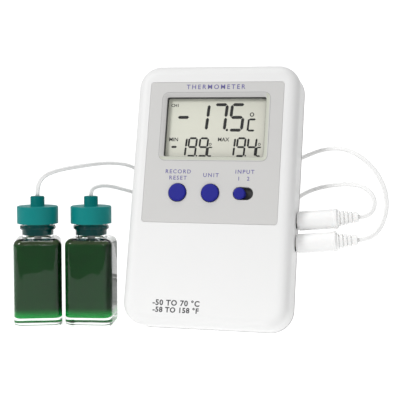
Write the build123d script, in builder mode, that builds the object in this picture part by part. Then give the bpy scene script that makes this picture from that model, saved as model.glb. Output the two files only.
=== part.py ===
"""Two-channel digital thermometer on a fold-out stand, with two glycol bottle probes on plug-in leads.

Millimetres. +Z up, the display faces -Y. The origin is on the table, in the middle of the footprint of
the thermometer and its two bottles. Depths into the case are measured from its front face.
"""
import os
from math import asin, cos, pi, radians, sin, tan

from build123d import *

# ---------------------------------------------------------------- case
case_w = 70.0
case_h = 111.0
case_t = 19.0
case_corner = 9.5            # corner radius seen from the front
front_round = 4.5
rear_round = 3.0
wall = 2.2
split_depth = 15.3           # where the rear cover meets the front case
lean = radians(15.0)         # the case leans back by this much
fit = 0.1                    # gap between pieces that fit into each other
tongue_h = 1.2
tongue_t = 1.0

# fascia, window and controls, in the plane of the front face (x, height up the face)
fascia_w = 57.6
fascia_h = 60.4
fascia_bottom = 42.7
fascia_t = 0.5
fascia_corner = 1.2
window_w = 45.6
window_h = 28.5
window_mid = 83.9
window_bevel = 1.3
window_bevel_depth = 1.0     # below it the opening's wall is straight
window_corner = 2.2
controls_height = 55.45
button_places = (("memory_button", -14.05), ("mode_button", 0.0))
button_r = 3.75
button_gap = 0.25
button_proud = 1.0
button_flange_r = 5.0
button_flange_t = 0.9
button_stem_r = 1.5
button_travel = 0.7
button_round = 0.6           # knob too
selector_mid = 13.9
selector_slot_w = 8.6
selector_slot_h = 5.5
selector_gap = 0.25
selector_proud = 0.7
shutter_t = 0.7
shutter_h = 6.8
lever_r = 0.9

# display stack
lens_t = 1.0
lens_margin = 1.2
lcd_w = 46.0
lcd_h = 29.5
lcd_t = 1.8
lcd_frame_bar = 1.0
lcd_frame_t = 2.4
reflector_t = 0.4
reflector_h = 25.2
reflector_inset = 0.3
strip_w = 42.0
strip_h = 2.0
strip_rise = 0.6             # strip above the glass's lower edge

# circuit board and what sits on it
board_w = 60.0
board_bottom = 25.0
board_top = 75.0
board_depth = 7.4            # front surface of the board
board_t = 1.6
board_post_r = 2.2
board_post_inset = 3.4
board_screw_r = 0.9
board_screw_head_r = 1.8
board_screw_head_t = 1.2
board_screw_length = 4.5
switch_body = 6.0
switch_body_t = 2.0
switch_plunger_r = 1.6
switch_plunger_t = 0.65
selector_can_w = 9.6
selector_can_h = 5.0
selector_can_t = 3.2
lever_reach = 1.4            # how far the lever reaches into the switch
chip_r = 5.0
chip_t = 1.2

# case screws
screw_inset_x = 7.0
screw_inset_v = 9.0
screw_r = 1.1
screw_head_r = 2.3
screw_head_t = 1.6
screw_seat = 1.7             # rear cover left under the head
screw_bite = 8.0
screw_cross_l = 2.6
screw_cross_w = 0.6
boss_r = 3.0
head_gap = 0.3

# battery bay in the rear cover
battery_r = 5.25
battery_l = 44.5
battery_nub_r = 1.9
battery_nub_l = 0.8
battery_round = 0.5
contact_t = 0.4
contact_side = 7.0
spring_r = 3.0
spring_wire = 0.8
contact_dome_r = 2.0
contact_dome_taper = 8
bay_height = 84.0            # middle of the bay, up the case
bay_end_room = 2.9           # room for a contact at each end
tray_wall = 1.2
tray_floor = 0.7
tray_depth = 5.75            # outer face of the tray's floor
door_t = 1.6
door_ledge = 0.8
door_gap = 0.2
door_pin_r = 0.55
door_pin_l = 0.8
pin_clearance = 0.05
door_grip_rows = 3
door_grip_w = 12.0           # longest row; each next one is shorter by door_grip_step
door_grip_step = 2.0
door_grip_pitch = 1.5
door_grip_cut = 0.8
door_grip_depth = 0.5
door_grip_rise = 2.0         # lowest row above the door's edge

# wall hook keyhole
keyhole_height = 98.0
keyhole_r = 3.9
keyhole_slot_r = 1.9
keyhole_rise = 6.0

# stand
stand_w = 38.0
stand_t = 2.4
stand_l = 36.0               # hinge axis to the middle of the rounded foot
stand_hinge_height = 29.0
stand_gap = 0.5              # at each side of the leg
recess_floor = 1.3
recess_depth = 2.7
stand_pin_r = 0.9
stand_pin_l = 1.4
stand_stop = 2.8             # hinge axis to the recess's lower edge, which the open leg rests on
stand_pad_w = 26.0            # shallow pocket that lightens the leg
stand_pad_l = 20.0
stand_pad_depth = 0.8

# jacks and plugs, on the right side
jack_heights = (46.4, 36.9)
jack_depth = 11.9
jack_tilt = radians(5.3)
jack_barrel_r = 3.0
jack_hole_r = 3.2
jack_body_w = 7.4
jack_body_t = 5.8
jack_body_l = 14.0
jack_body_start = 2.6
pin_r = 1.75
jack_bore_r = pin_r + pin_clearance
jack_bore_end = 1.2
plug_face = 0.4              # from the case's side to the plug's shoulder
pin_l = 14.2
pin_tip_l = 4.2
pin_tip_outline = ((0.0, 1.0), (1.3, 1.0), (1.9, 0.714), (2.7, 0.971), (4.2, 0.286))   # length along, share of pin_r
insulator_l = 0.8
grip_r = 4.0
grip_l = 16.6
grip_lip_r = 4.25
grip_lip_l = 1.6
grip_nose_r = 3.5
boot_l = 8.4
boot_start_r = 3.35
boot_end_r = 2.0
boot_grooves = 4
boot_groove_w = 0.55
boot_groove_depth = 0.8
boot_collar = 0.9

# bottles
bottle_places = ((-75.9, 12.2, radians(21.0)), (-53.8, 18.4, radians(9.5)))
bottle_side = 20.4
bottle_corner = 4.0
bottle_body_h = 37.6
bottle_shoulder_r = 3.2
bottle_foot_r = 1.4
bottle_wall = 1.3
bottle_base = 3.6
neck_r = 6.75
neck_bore_r = 5.25
neck_top = 48.0
bead_r = 7.75
bead_bottom = 40.9
bead_h = 2.0
liquid_gap = 0.05
liner_t = 0.6
flange_t = 0.8
cap_r = 8.8
cap_bottom = 43.6
cap_top_t = 1.6
cap_skirt_bore = 7.35
cap_round = 0.5
gland_r = 3.0
gland_h = 4.2
gland_plug_r = 5.15
gland_plug_bottom = 38.6
stem_r = 1.6
stem_bottom = 11.0
stem_seat = 5.0

# leads: flat twin wire, its width
lead_d = 1.8
coil_mean_d = 21.6
coil_columns = 6
coil_layers = 6
coil_places = ((-33.5, 71.0), (1.5, 75.2))
tie_w = 5.0
tie_t = 0.8
tie_slack = 1.0

# ---------------------------------------------------------------- shared places
# The case stands on its rounded lower rear edge, so its front edge is lifted by this much.
front_lift = (case_t - rear_round) * sin(lean) + rear_round * (1 - cos(lean))
bottle_reach = (bottle_side / 2 - bottle_corner) * (
    cos(bottle_places[0][2]) + sin(bottle_places[0][2])
) + bottle_corner
hinge_depth = case_t - recess_depth + stand_t / 2 + fit
hinge_y = stand_hinge_height * sin(lean) + hinge_depth * cos(lean)
hinge_z = stand_hinge_height * cos(lean) - hinge_depth * sin(lean) + front_lift
stand_drop = asin((hinge_z - stand_t / 2) / stand_l)   # below the horizontal
stand_open = pi / 2 - lean + stand_drop         # from folded against the back
foot_y = hinge_y + stand_l * cos(stand_drop) + stand_t / 2
middle_x = (case_w / 2 + bottle_places[0][0] - bottle_reach) / 2
middle_y = (foot_y + front_round * sin(lean) * (1 - cos(lean))) / 2
shift = Vector(-middle_x, -middle_y, 0)

face = Plane(
    origin=Vector(0, 0, front_lift) + shift,
    x_dir=(1, 0, 0),
    z_dir=(0, -cos(lean), sin(lean)),
)
out_axis = Axis(face.origin, face.z_dir)
rear_inner = case_t - wall
case_mid = case_h / 2


def depth(d):
    """The plane at depth d into the case, parallel to its front face."""
    return face.offset(-d)


def save(builder, label):
    builder.part.label = label
    export_step(builder.part, f"parts/{label}.step")


def revolved(plane, outline, label):
    """A turned piece about plane's normal from (radius, height) points."""
    section = Plane(origin=plane.origin, x_dir=plane.x_dir, z_dir=-plane.y_dir)
    with BuildPart() as turned:
        with BuildSketch(section):
            with BuildLine():
                Polyline(*outline, close=True)
            make_face()
        revolve(axis=Axis(plane.origin, plane.z_dir))
    save(turned, label)


os.makedirs("parts", exist_ok=True)

# ---------------------------------------------------------------- front case
screw_places = [
    (sx * (case_w / 2 - screw_inset_x), v)
    for sx in (-1, 1)
    for v in (screw_inset_v, case_h - screw_inset_v)
]
board_mid = (board_bottom + board_top) / 2
board_post_places = [
    (sx * (board_w / 2 - board_post_inset), v)
    for sx in (-1, 1)
    for v in (board_bottom + board_post_inset, board_top - board_post_inset)
]
fascia_mid = fascia_bottom + fascia_h / 2
selector_knob_r = selector_slot_h / 2 - selector_gap
selector_travel = selector_slot_w - selector_slot_h
selector_rest = selector_mid - selector_travel / 2


def jack_plane(height):
    """On the right side wall, at a jack: z points out along the plug, x towards the front."""
    origin = face.from_local_coords(Vector(case_w / 2, height, -jack_depth))
    along = face.x_dir * cos(jack_tilt) + face.y_dir * sin(jack_tilt)
    return Plane(origin=origin, x_dir=face.z_dir, z_dir=along)


with BuildPart() as front_hollow:
    with BuildSketch(depth(split_depth)):
        with Locations((0, case_mid)):
            RectangleRounded(case_w - 2 * wall, case_h - 2 * wall, case_corner - wall)
    extrude(amount=split_depth - wall)
    fillet(front_hollow.faces().sort_by(out_axis)[-1].edges(), front_round - wall)

with BuildPart() as front_case:
    with BuildSketch(depth(split_depth)):
        with Locations((0, case_mid)):
            RectangleRounded(case_w, case_h, case_corner)
    extrude(amount=split_depth)
    fillet(front_case.faces().sort_by(out_axis)[-1].edges(), front_round)
    add(front_hollow.part, mode=Mode.SUBTRACT)
    # screw bosses and board posts
    with BuildSketch(depth(split_depth)):
        with Locations(*screw_places):
            Circle(boss_r)
    extrude(amount=split_depth - wall)
    with BuildSketch(depth(board_depth)):
        with Locations(*board_post_places):
            Circle(board_post_r)
    extrude(amount=board_depth - wall)
    with BuildSketch(depth(split_depth)):
        with Locations(*screw_places):
            Circle(screw_r + pin_clearance)
    extrude(amount=screw_bite + fit, mode=Mode.SUBTRACT)
    with BuildSketch(depth(board_depth)):
        with Locations(*board_post_places):
            Circle(board_screw_r + pin_clearance)
    extrude(amount=board_screw_length - board_t + fit, mode=Mode.SUBTRACT)
    # fascia pocket, bevelled window, button holes, selector slot
    with BuildSketch(face):
        with Locations((0, fascia_mid)):
            RectangleRounded(fascia_w + 2 * fit, fascia_h + 2 * fit, fascia_corner + fit)
    extrude(amount=-fascia_t, mode=Mode.SUBTRACT)
    with BuildSketch(face):
        with Locations((0, window_mid)):
            RectangleRounded(window_w, window_h, window_corner)
    with BuildSketch(depth(window_bevel_depth)):
        with Locations((0, window_mid)):
            RectangleRounded(
                window_w - 2 * window_bevel, window_h - 2 * window_bevel, window_corner - window_bevel
            )
    loft(mode=Mode.SUBTRACT)
    with BuildSketch(depth(window_bevel_depth)):
        with Locations((0, window_mid)):
            RectangleRounded(
                window_w - 2 * window_bevel, window_h - 2 * window_bevel, window_corner - window_bevel
            )
    extrude(amount=-(wall - window_bevel_depth), mode=Mode.SUBTRACT)
    with BuildSketch(face):
        with Locations(*[(x, controls_height) for _, x in button_places]):
            Circle(button_r + button_gap)
        with Locations((selector_mid, controls_height)):
            SlotOverall(selector_slot_w, selector_slot_h)
    extrude(amount=-wall, mode=Mode.SUBTRACT)
    for height in jack_heights:
        with BuildSketch(jack_plane(height).offset(wall)):
            Circle(jack_hole_r)
        extrude(amount=-2 * wall - 1, mode=Mode.SUBTRACT)
save(front_case, "front_case")

with BuildPart() as fascia:
    with BuildSketch(depth(fascia_t)):
        with Locations((0, fascia_mid)):
            RectangleRounded(fascia_w, fascia_h, fascia_corner)
        with Locations((0, window_mid)):
            RectangleRounded(window_w + 2 * fit, window_h + 2 * fit, window_corner, mode=Mode.SUBTRACT)
        with Locations(*[(x, controls_height) for _, x in button_places]):
            Circle(button_r + button_gap, mode=Mode.SUBTRACT)
        with Locations((selector_mid, controls_height)):
            SlotOverall(selector_slot_w, selector_slot_h, mode=Mode.SUBTRACT)
    extrude(amount=fascia_t)
save(fascia, "fascia")

# ---------------------------------------------------------------- rear cover
bay_l = battery_l + 2 * bay_end_room
tray_w = bay_l + 2 * tray_wall
tray_h = 2 * (battery_r + fit) + 2 * tray_wall
door_w = tray_w + 2 * door_ledge
door_h = tray_h + 2 * door_ledge
door_depth = case_t - door_t
door_axis_height = bay_height + door_h / 2 - door_t / 2
door_axis_depth = case_t - door_t / 2
recess_w = stand_w + 2 * stand_gap
recess_bottom = stand_hinge_height - stand_stop
recess_top = stand_hinge_height + stand_l + stand_t / 2 + stand_gap
recess_mid = (recess_bottom + recess_top) / 2
tub_back = case_t - recess_depth - recess_floor

with BuildPart() as rear_case:
    with BuildSketch(depth(case_t)):
        with Locations((0, case_mid)):
            RectangleRounded(case_w, case_h, case_corner)
    extrude(amount=case_t - split_depth)
    fillet(rear_case.faces().sort_by(out_axis)[0].edges(), rear_round)
    with BuildSketch(depth(rear_inner)):
        with Locations((0, case_mid)):
            RectangleRounded(case_w - 2 * wall, case_h - 2 * wall, case_corner - wall)
    extrude(amount=rear_inner - split_depth, mode=Mode.SUBTRACT)
    # tongue inside the front case
    with BuildSketch(depth(rear_inner)):
        with Locations((0, case_mid)):
            RectangleRounded(
                case_w - 2 * wall - 2 * fit, case_h - 2 * wall - 2 * fit, case_corner - wall - fit
            )
            RectangleRounded(
                case_w - 2 * wall - 2 * fit - 2 * tongue_t,
                case_h - 2 * wall - 2 * fit - 2 * tongue_t,
                case_corner - wall - fit - tongue_t,
                mode=Mode.SUBTRACT,
            )
        with Locations(*[(case_w / 2, v) for v in jack_heights]):
            Rectangle(4 * wall, 2 * jack_hole_r + 3, mode=Mode.SUBTRACT)
        with Locations(*screw_places):
            Circle(boss_r + 2 * fit, mode=Mode.SUBTRACT)
    extrude(amount=rear_inner - split_depth + tongue_h)
    # bosses under the screw heads, and the tub behind the stand's recess
    with BuildSketch(depth(rear_inner)):
        with Locations(*screw_places):
            Circle(boss_r)
    extrude(amount=rear_inner - split_depth)
    with BuildSketch(depth(rear_inner)):
        with Locations((0, recess_mid)):
            Rectangle(recess_w + 2 * recess_floor, recess_top - recess_bottom + 2 * recess_floor)
    extrude(amount=rear_inner - tub_back)
    with BuildSketch(depth(case_t)):
        with Locations((0, recess_mid)):
            Rectangle(recess_w, recess_top - recess_bottom)
    extrude(amount=recess_depth, mode=Mode.SUBTRACT)
    # screw holes with a seat for each head
    with BuildSketch(depth(case_t)):
        with Locations(*screw_places):
            Circle(screw_head_r + head_gap)
    extrude(amount=case_t - split_depth - screw_seat, mode=Mode.SUBTRACT)
    with BuildSketch(depth(case_t)):
        with Locations(*screw_places):
            Circle(screw_r + pin_clearance)
    extrude(amount=case_t - split_depth, mode=Mode.SUBTRACT)
    # battery opening with a ledge for its door, and the wall hook's keyhole
    with BuildSketch(depth(case_t)):
        with Locations((0, bay_height)):
            Rectangle(tray_w + 2 * fit, tray_h + 2 * fit)
    extrude(amount=case_t - split_depth, mode=Mode.SUBTRACT)
    with BuildSketch(depth(case_t)):
        with Locations((0, bay_height)):
            Rectangle(door_w + 2 * door_gap, door_h + 2 * door_gap)
    extrude(amount=door_t, mode=Mode.SUBTRACT)
    with BuildSketch(depth(case_t)):
        with Locations((0, keyhole_height)):
            Circle(keyhole_r)
        with Locations((0, keyhole_height + keyhole_rise / 2)):
            SlotCenterToCenter(keyhole_rise, 2 * keyhole_slot_r, rotation=90)
    extrude(amount=wall, mode=Mode.SUBTRACT)
    # hinge sockets for the stand and the door
    for half, height, axis_depth, radius, length in (
        (recess_w / 2, stand_hinge_height, hinge_depth, stand_pin_r, stand_pin_l),
        (door_w / 2 + door_gap, door_axis_height, door_axis_depth, door_pin_r, door_pin_l),
    ):
        for side in (-1, 1):
            seat = Plane(
                origin=face.from_local_coords(Vector(side * half, height, -axis_depth)),
                x_dir=face.z_dir,
                z_dir=face.x_dir * side,
            )
            with BuildSketch(seat):
                Circle(radius + pin_clearance)
            extrude(amount=length + fit, mode=Mode.SUBTRACT)
save(rear_case, "rear_case")

with BuildPart() as case_screws:
    seat_depth = split_depth + screw_seat
    with BuildSketch(depth(seat_depth)):
        with Locations(*screw_places):
            Circle(screw_r)
    extrude(amount=screw_seat + screw_bite)
    with BuildSketch(depth(seat_depth + screw_head_t)):
        with Locations(*screw_places):
            Circle(screw_head_r)
    extrude(amount=screw_head_t)
    with BuildSketch(depth(seat_depth + screw_head_t)):
        with Locations(*screw_places):
            Rectangle(screw_cross_l, screw_cross_w)
            Rectangle(screw_cross_w, screw_cross_l)
    extrude(amount=screw_head_t / 2, mode=Mode.SUBTRACT)
save(case_screws, "case_screws")

# ---------------------------------------------------------------- battery bay
battery_depth = tray_depth + tray_floor + fit + battery_r

with BuildPart() as battery_tray:
    with BuildSketch(depth(door_depth - fit)):
        with Locations((0, bay_height)):
            Rectangle(tray_w, tray_h)
    extrude(amount=door_depth - fit - tray_depth)
    with BuildSketch(depth(door_depth - fit)):
        with Locations((0, bay_height)):
            Rectangle(bay_l, tray_h - 2 * tray_wall)
    extrude(amount=door_depth - fit - tray_depth - tray_floor, mode=Mode.SUBTRACT)
save(battery_tray, "battery_tray")

battery_plane = Plane(
    origin=face.from_local_coords(Vector(-battery_l / 2, bay_height, -battery_depth)),
    x_dir=face.z_dir,
    z_dir=face.x_dir,
)
cell_l = battery_l - battery_nub_l
with BuildPart() as battery:
    with BuildSketch(battery_plane):
        Circle(battery_r)
    extrude(amount=cell_l)
    fillet(battery.edges().filter_by(GeomType.CIRCLE), battery_round)
    with BuildSketch(battery_plane.offset(cell_l)):
        Circle(battery_nub_r)
    extrude(amount=battery_nub_l)
save(battery, "battery")

for label, plane in (
    ("battery_spring", battery_plane.offset(-bay_end_room)),
    ("battery_contact", battery_plane.offset(battery_l + bay_end_room - contact_t)),
):
    with BuildPart() as contact:
        with BuildSketch(plane):
            Rectangle(contact_side, contact_side)
        extrude(amount=contact_t)
        if label == "battery_spring":
            with BuildSketch(plane.offset(contact_t)):
                Circle(spring_r)
                Circle(spring_r - spring_wire, mode=Mode.SUBTRACT)
            extrude(amount=bay_end_room - contact_t)
        else:
            with BuildSketch(plane):
                Circle(contact_dome_r)
            extrude(amount=-(bay_end_room - contact_t), taper=contact_dome_taper)
    save(contact, label)

with BuildPart() as battery_door:
    lower = bay_height - door_h / 2
    with BuildSketch(depth(case_t)):
        with Locations((0, (lower + door_axis_height) / 2)):
            Rectangle(door_w, door_axis_height - lower)
    extrude(amount=door_t)
    knuckle = Plane(
        origin=face.from_local_coords(Vector(-door_w / 2, door_axis_height, -door_axis_depth)),
        x_dir=face.z_dir,
        z_dir=face.x_dir,
    )
    with BuildSketch(knuckle):
        Circle(door_t / 2)
    extrude(amount=door_w)
    with BuildSketch(knuckle.offset(-door_gap - door_pin_l)):
        Circle(door_pin_r)
    extrude(amount=door_w + 2 * (door_gap + door_pin_l))
    # thumb grip near the lower edge
    with BuildSketch(depth(case_t)):
        for row in range(door_grip_rows):
            with Locations((0, lower + door_grip_rise + door_grip_pitch * row)):
                SlotOverall(door_grip_w - door_grip_step * row, door_grip_cut)
    extrude(amount=door_grip_depth, mode=Mode.SUBTRACT)
save(battery_door, "battery_door")

# ---------------------------------------------------------------- stand
stand_dir = face.y_dir * cos(stand_open) - face.z_dir * sin(stand_open)
hinge_point = face.from_local_coords(Vector(0, stand_hinge_height, -hinge_depth))
stand_plane = Plane(
    origin=hinge_point,
    x_dir=face.x_dir,
    z_dir=Vector(face.x_dir).cross(stand_dir),
)
with BuildPart() as stand:
    with BuildSketch(stand_plane.offset(-stand_t / 2)):
        with Locations((0, stand_l / 2)):
            Rectangle(stand_w, stand_l)
    extrude(amount=stand_t)
    across = Plane(
        origin=hinge_point - face.x_dir * (stand_w / 2), x_dir=stand_dir, z_dir=face.x_dir
    )
    with BuildSketch(across):
        Circle(stand_t / 2)
        with Locations((stand_l, 0)):
            Circle(stand_t / 2)
    extrude(amount=stand_w)
    with BuildSketch(across.offset(-stand_gap - stand_pin_l)):
        Circle(stand_pin_r)
    extrude(amount=stand_w + 2 * (stand_gap + stand_pin_l))
    with BuildSketch(stand_plane.offset(stand_t / 2)):
        with Locations((0, stand_l / 2 + 1)):
            RectangleRounded(stand_pad_w, stand_pad_l, 3)
    extrude(amount=-stand_pad_depth, mode=Mode.SUBTRACT)
save(stand, "stand")

# ---------------------------------------------------------------- display stack
lcd_depth = wall + lens_t + fit
lcd_mid = window_mid - 0.4
with BuildPart() as display_lens:
    with BuildSketch(depth(wall + lens_t)):
        with Locations((0, window_mid)):
            Rectangle(window_w + 2 * lens_margin, window_h + 2 * lens_margin)
    extrude(amount=lens_t)
save(display_lens, "display_lens")

with BuildPart() as lcd_glass:
    with BuildSketch(depth(lcd_depth + lcd_t)):
        with Locations((0, lcd_mid)):
            Rectangle(lcd_w, lcd_h)
    extrude(amount=lcd_t)
save(lcd_glass, "lcd_glass")

with BuildPart() as lcd_frame:
    with BuildSketch(depth(lcd_depth + lcd_frame_t - fit)):
        with Locations((0, lcd_mid)):
            Rectangle(lcd_w + 2 * fit + 2 * lcd_frame_bar, lcd_h + 2 * fit + 2 * lcd_frame_bar)
            Rectangle(lcd_w + 2 * fit, lcd_h + 2 * fit, mode=Mode.SUBTRACT)
    extrude(amount=lcd_frame_t)
save(lcd_frame, "lcd_frame")

with BuildPart() as lcd_reflector:
    with BuildSketch(depth(lcd_depth + lcd_t + reflector_t)):
        with Locations((0, lcd_mid + (lcd_h - reflector_h) / 2 - reflector_inset)):
            Rectangle(lcd_w - 1.5, reflector_h)
    extrude(amount=reflector_t)
save(lcd_reflector, "lcd_reflector")

with BuildPart() as contact_strip:
    with BuildSketch(depth(board_depth)):
        with Locations((0, lcd_mid - lcd_h / 2 + strip_rise + strip_h / 2)):
            Rectangle(strip_w, strip_h)
    extrude(amount=board_depth - lcd_depth - lcd_t)
save(contact_strip, "contact_strip")

# ---------------------------------------------------------------- circuit board
board_back = board_depth + board_t
with BuildPart() as circuit_board:
    with BuildSketch(depth(board_back)):
        with Locations((0, board_mid)):
            RectangleRounded(board_w, board_top - board_bottom, 1.5)
        with Locations(*board_post_places):
            Circle(board_screw_r + fit, mode=Mode.SUBTRACT)
    extrude(amount=board_t)
save(circuit_board, "circuit_board")

with BuildPart() as board_screws:
    with BuildSketch(depth(board_back)):
        with Locations(*board_post_places):
            Circle(board_screw_r)
    extrude(amount=board_screw_length)
    with BuildSketch(depth(board_back + board_screw_head_t)):
        with Locations(*board_post_places):
            Circle(board_screw_head_r)
    extrude(amount=board_screw_head_t)
save(board_screws, "board_screws")

with BuildPart() as controller_chip:
    with BuildSketch(depth(board_back + chip_t)):
        with Locations((-8, board_mid)):
            Circle(chip_r)
    extrude(amount=chip_t)
    fillet(controller_chip.edges().filter_by(GeomType.CIRCLE).sort_by(out_axis)[0], chip_t * 0.6)
save(controller_chip, "controller_chip")

component_sizes = ((-21, 60, 4.6, 2.4, 2.2), (-21, 53, 2.6, 2.6, 3.0), (-20, 44, 5.0, 2.0, 1.0),
                   (5, 62, 3.2, 1.6, 0.9), (9, 34, 3.2, 1.6, 0.9), (-3, 36, 2.0, 1.2, 0.8))
with BuildPart() as board_components:
    for x, v, w, h, t in component_sizes:
        with BuildSketch(depth(board_back + t)):
            with Locations((x, v)):
                Rectangle(w, h)
        extrude(amount=t)
save(board_components, "board_components")

with BuildPart() as button_switches:
    with BuildSketch(depth(board_depth)):
        with Locations(*[(x, controls_height) for _, x in button_places]):
            Rectangle(switch_body, switch_body)
    extrude(amount=switch_body_t)
    with BuildSketch(depth(board_depth - switch_body_t)):
        with Locations(*[(x, controls_height) for _, x in button_places]):
            Circle(switch_plunger_r)
    extrude(amount=switch_plunger_t)
save(button_switches, "button_switches")

lever_tip = board_depth - selector_can_t + lever_reach
with BuildPart() as selector_switch:
    with BuildSketch(depth(board_depth)):
        with Locations((selector_mid, controls_height)):
            Rectangle(selector_can_w, selector_can_h)
    extrude(amount=selector_can_t)
    with BuildSketch(depth(lever_tip + fit)):
        with Locations((selector_mid, controls_height)):
            SlotOverall(selector_travel + 2 * (lever_r + selector_gap), 2 * (lever_r + selector_gap))
    extrude(amount=lever_reach + 2 * fit, mode=Mode.SUBTRACT)
save(selector_switch, "selector_switch")

# ---------------------------------------------------------------- buttons and selector
flange_depth = wall + fit
for label, x in button_places:
    with BuildPart() as button:
        with BuildSketch(depth(flange_depth)):
            with Locations((x, controls_height)):
                Circle(button_r)
        extrude(amount=flange_depth + button_proud)
        fillet(button.edges().filter_by(GeomType.CIRCLE).sort_by(out_axis)[-1], button_round)
        with BuildSketch(depth(flange_depth + button_flange_t)):
            with Locations((x, controls_height)):
                Circle(button_flange_r)
        extrude(amount=button_flange_t)
        stem_end = board_depth - switch_body_t - switch_plunger_t - button_travel - fit
        with BuildSketch(depth(stem_end)):
            with Locations((x, controls_height)):
                Circle(button_stem_r)
        extrude(amount=stem_end - flange_depth - button_flange_t)
    save(button, label)

shutter_w = selector_slot_w + selector_travel + 1.1
with BuildPart() as selector_lever:
    with BuildSketch(depth(flange_depth + shutter_t)):
        with Locations((selector_rest, controls_height)):
            Rectangle(shutter_w, shutter_h)
    extrude(amount=shutter_t)
    with BuildSketch(depth(lever_tip)):
        with Locations((selector_rest, controls_height)):
            Circle(lever_r)
    extrude(amount=lever_tip - flange_depth - shutter_t)
save(selector_lever, "selector_lever")

with BuildPart() as selector_knob:
    with BuildSketch(depth(flange_depth)):
        with Locations((selector_rest, controls_height)):
            Circle(selector_knob_r)
    extrude(amount=flange_depth + selector_proud)
    fillet(selector_knob.edges().filter_by(GeomType.CIRCLE).sort_by(out_axis)[-1], button_round)
save(selector_knob, "selector_knob")

# ---------------------------------------------------------------- jacks and plugs
boot_end = plug_face + grip_l + boot_l
for number, height in enumerate(jack_heights, 1):
    jack = jack_plane(height)
    with BuildPart() as socket:
        with BuildSketch(jack.offset(-jack_body_start - jack_body_l)):
            Rectangle(jack_body_t, jack_body_w)
        extrude(amount=jack_body_l)
        with BuildSketch(jack.offset(-jack_body_start)):
            Circle(jack_barrel_r)
        extrude(amount=jack_body_start - fit)
        with BuildSketch(jack):
            Circle(jack_bore_r)
        extrude(amount=-(jack_body_start + jack_body_l - jack_bore_end), mode=Mode.SUBTRACT)
    save(socket, f"jack_socket_{number}")

    sleeve_end = plug_face - pin_l + pin_tip_l + insulator_l
    tip_top = sleeve_end - insulator_l
    revolved(jack, ((0, plug_face), (pin_r, plug_face), (pin_r, sleeve_end), (0, sleeve_end)),
             f"plug_sleeve_{number}")
    revolved(jack, ((0, sleeve_end), (pin_r, sleeve_end), (pin_r, tip_top), (0, tip_top)),
             f"plug_insulator_{number}")
    revolved(
        jack,
        ((0, tip_top), *((share * pin_r, tip_top - along) for along, share in pin_tip_outline),
         (0, tip_top - pin_tip_l)),
        f"plug_tip_{number}",
    )
    grip_end = plug_face + grip_l
    revolved(
        jack,
        ((0, plug_face), (grip_nose_r, plug_face), (grip_r, plug_face + 0.8),
         (grip_r, grip_end - grip_lip_l), (grip_lip_r, grip_end - grip_lip_l + 0.3),
         (grip_lip_r, grip_end - 0.4), (grip_lip_r - 0.4, grip_end), (0, grip_end)),
        f"plug_grip_{number}",
    )
    with BuildPart() as boot:
        with BuildSketch(jack.offset(grip_end)):
            Circle(boot_start_r)
        with BuildSketch(jack.offset(boot_end)):
            Circle(boot_end_r)
        loft()
        for ring in range(boot_grooves):
            groove_at = boot_collar + ring * (boot_l - 2 * boot_collar) / boot_grooves
            outer_r = boot_start_r + (boot_end_r - boot_start_r) * groove_at / boot_l
            with BuildSketch(jack.offset(grip_end + groove_at)):
                Circle(boot_start_r + 1)
                Circle(outer_r - boot_groove_depth, mode=Mode.SUBTRACT)
            extrude(amount=boot_groove_w, mode=Mode.SUBTRACT)
    save(boot, f"plug_boot_{number}")

# ---------------------------------------------------------------- bottles
flange_bottom = neck_top + liner_t
cap_inner_top = flange_bottom + flange_t
cap_top = cap_inner_top + cap_top_t
gland_top = cap_top + gland_h


def square_body(base, inset, bottom, top, foot_r, shoulder_r):
    """A rounded square block, as the outside, the inside and the liquid share it."""
    with BuildPart() as block:
        with BuildSketch(base.offset(bottom)):
            RectangleRounded(bottle_side - 2 * inset, bottle_side - 2 * inset, bottle_corner - inset)
        extrude(amount=top - bottom)
        if shoulder_r:
            fillet(block.faces().sort_by(Axis.Z)[-1].edges(), shoulder_r)
        fillet(block.faces().sort_by(Axis.Z)[0].edges(), foot_r)
    return block.part


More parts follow.
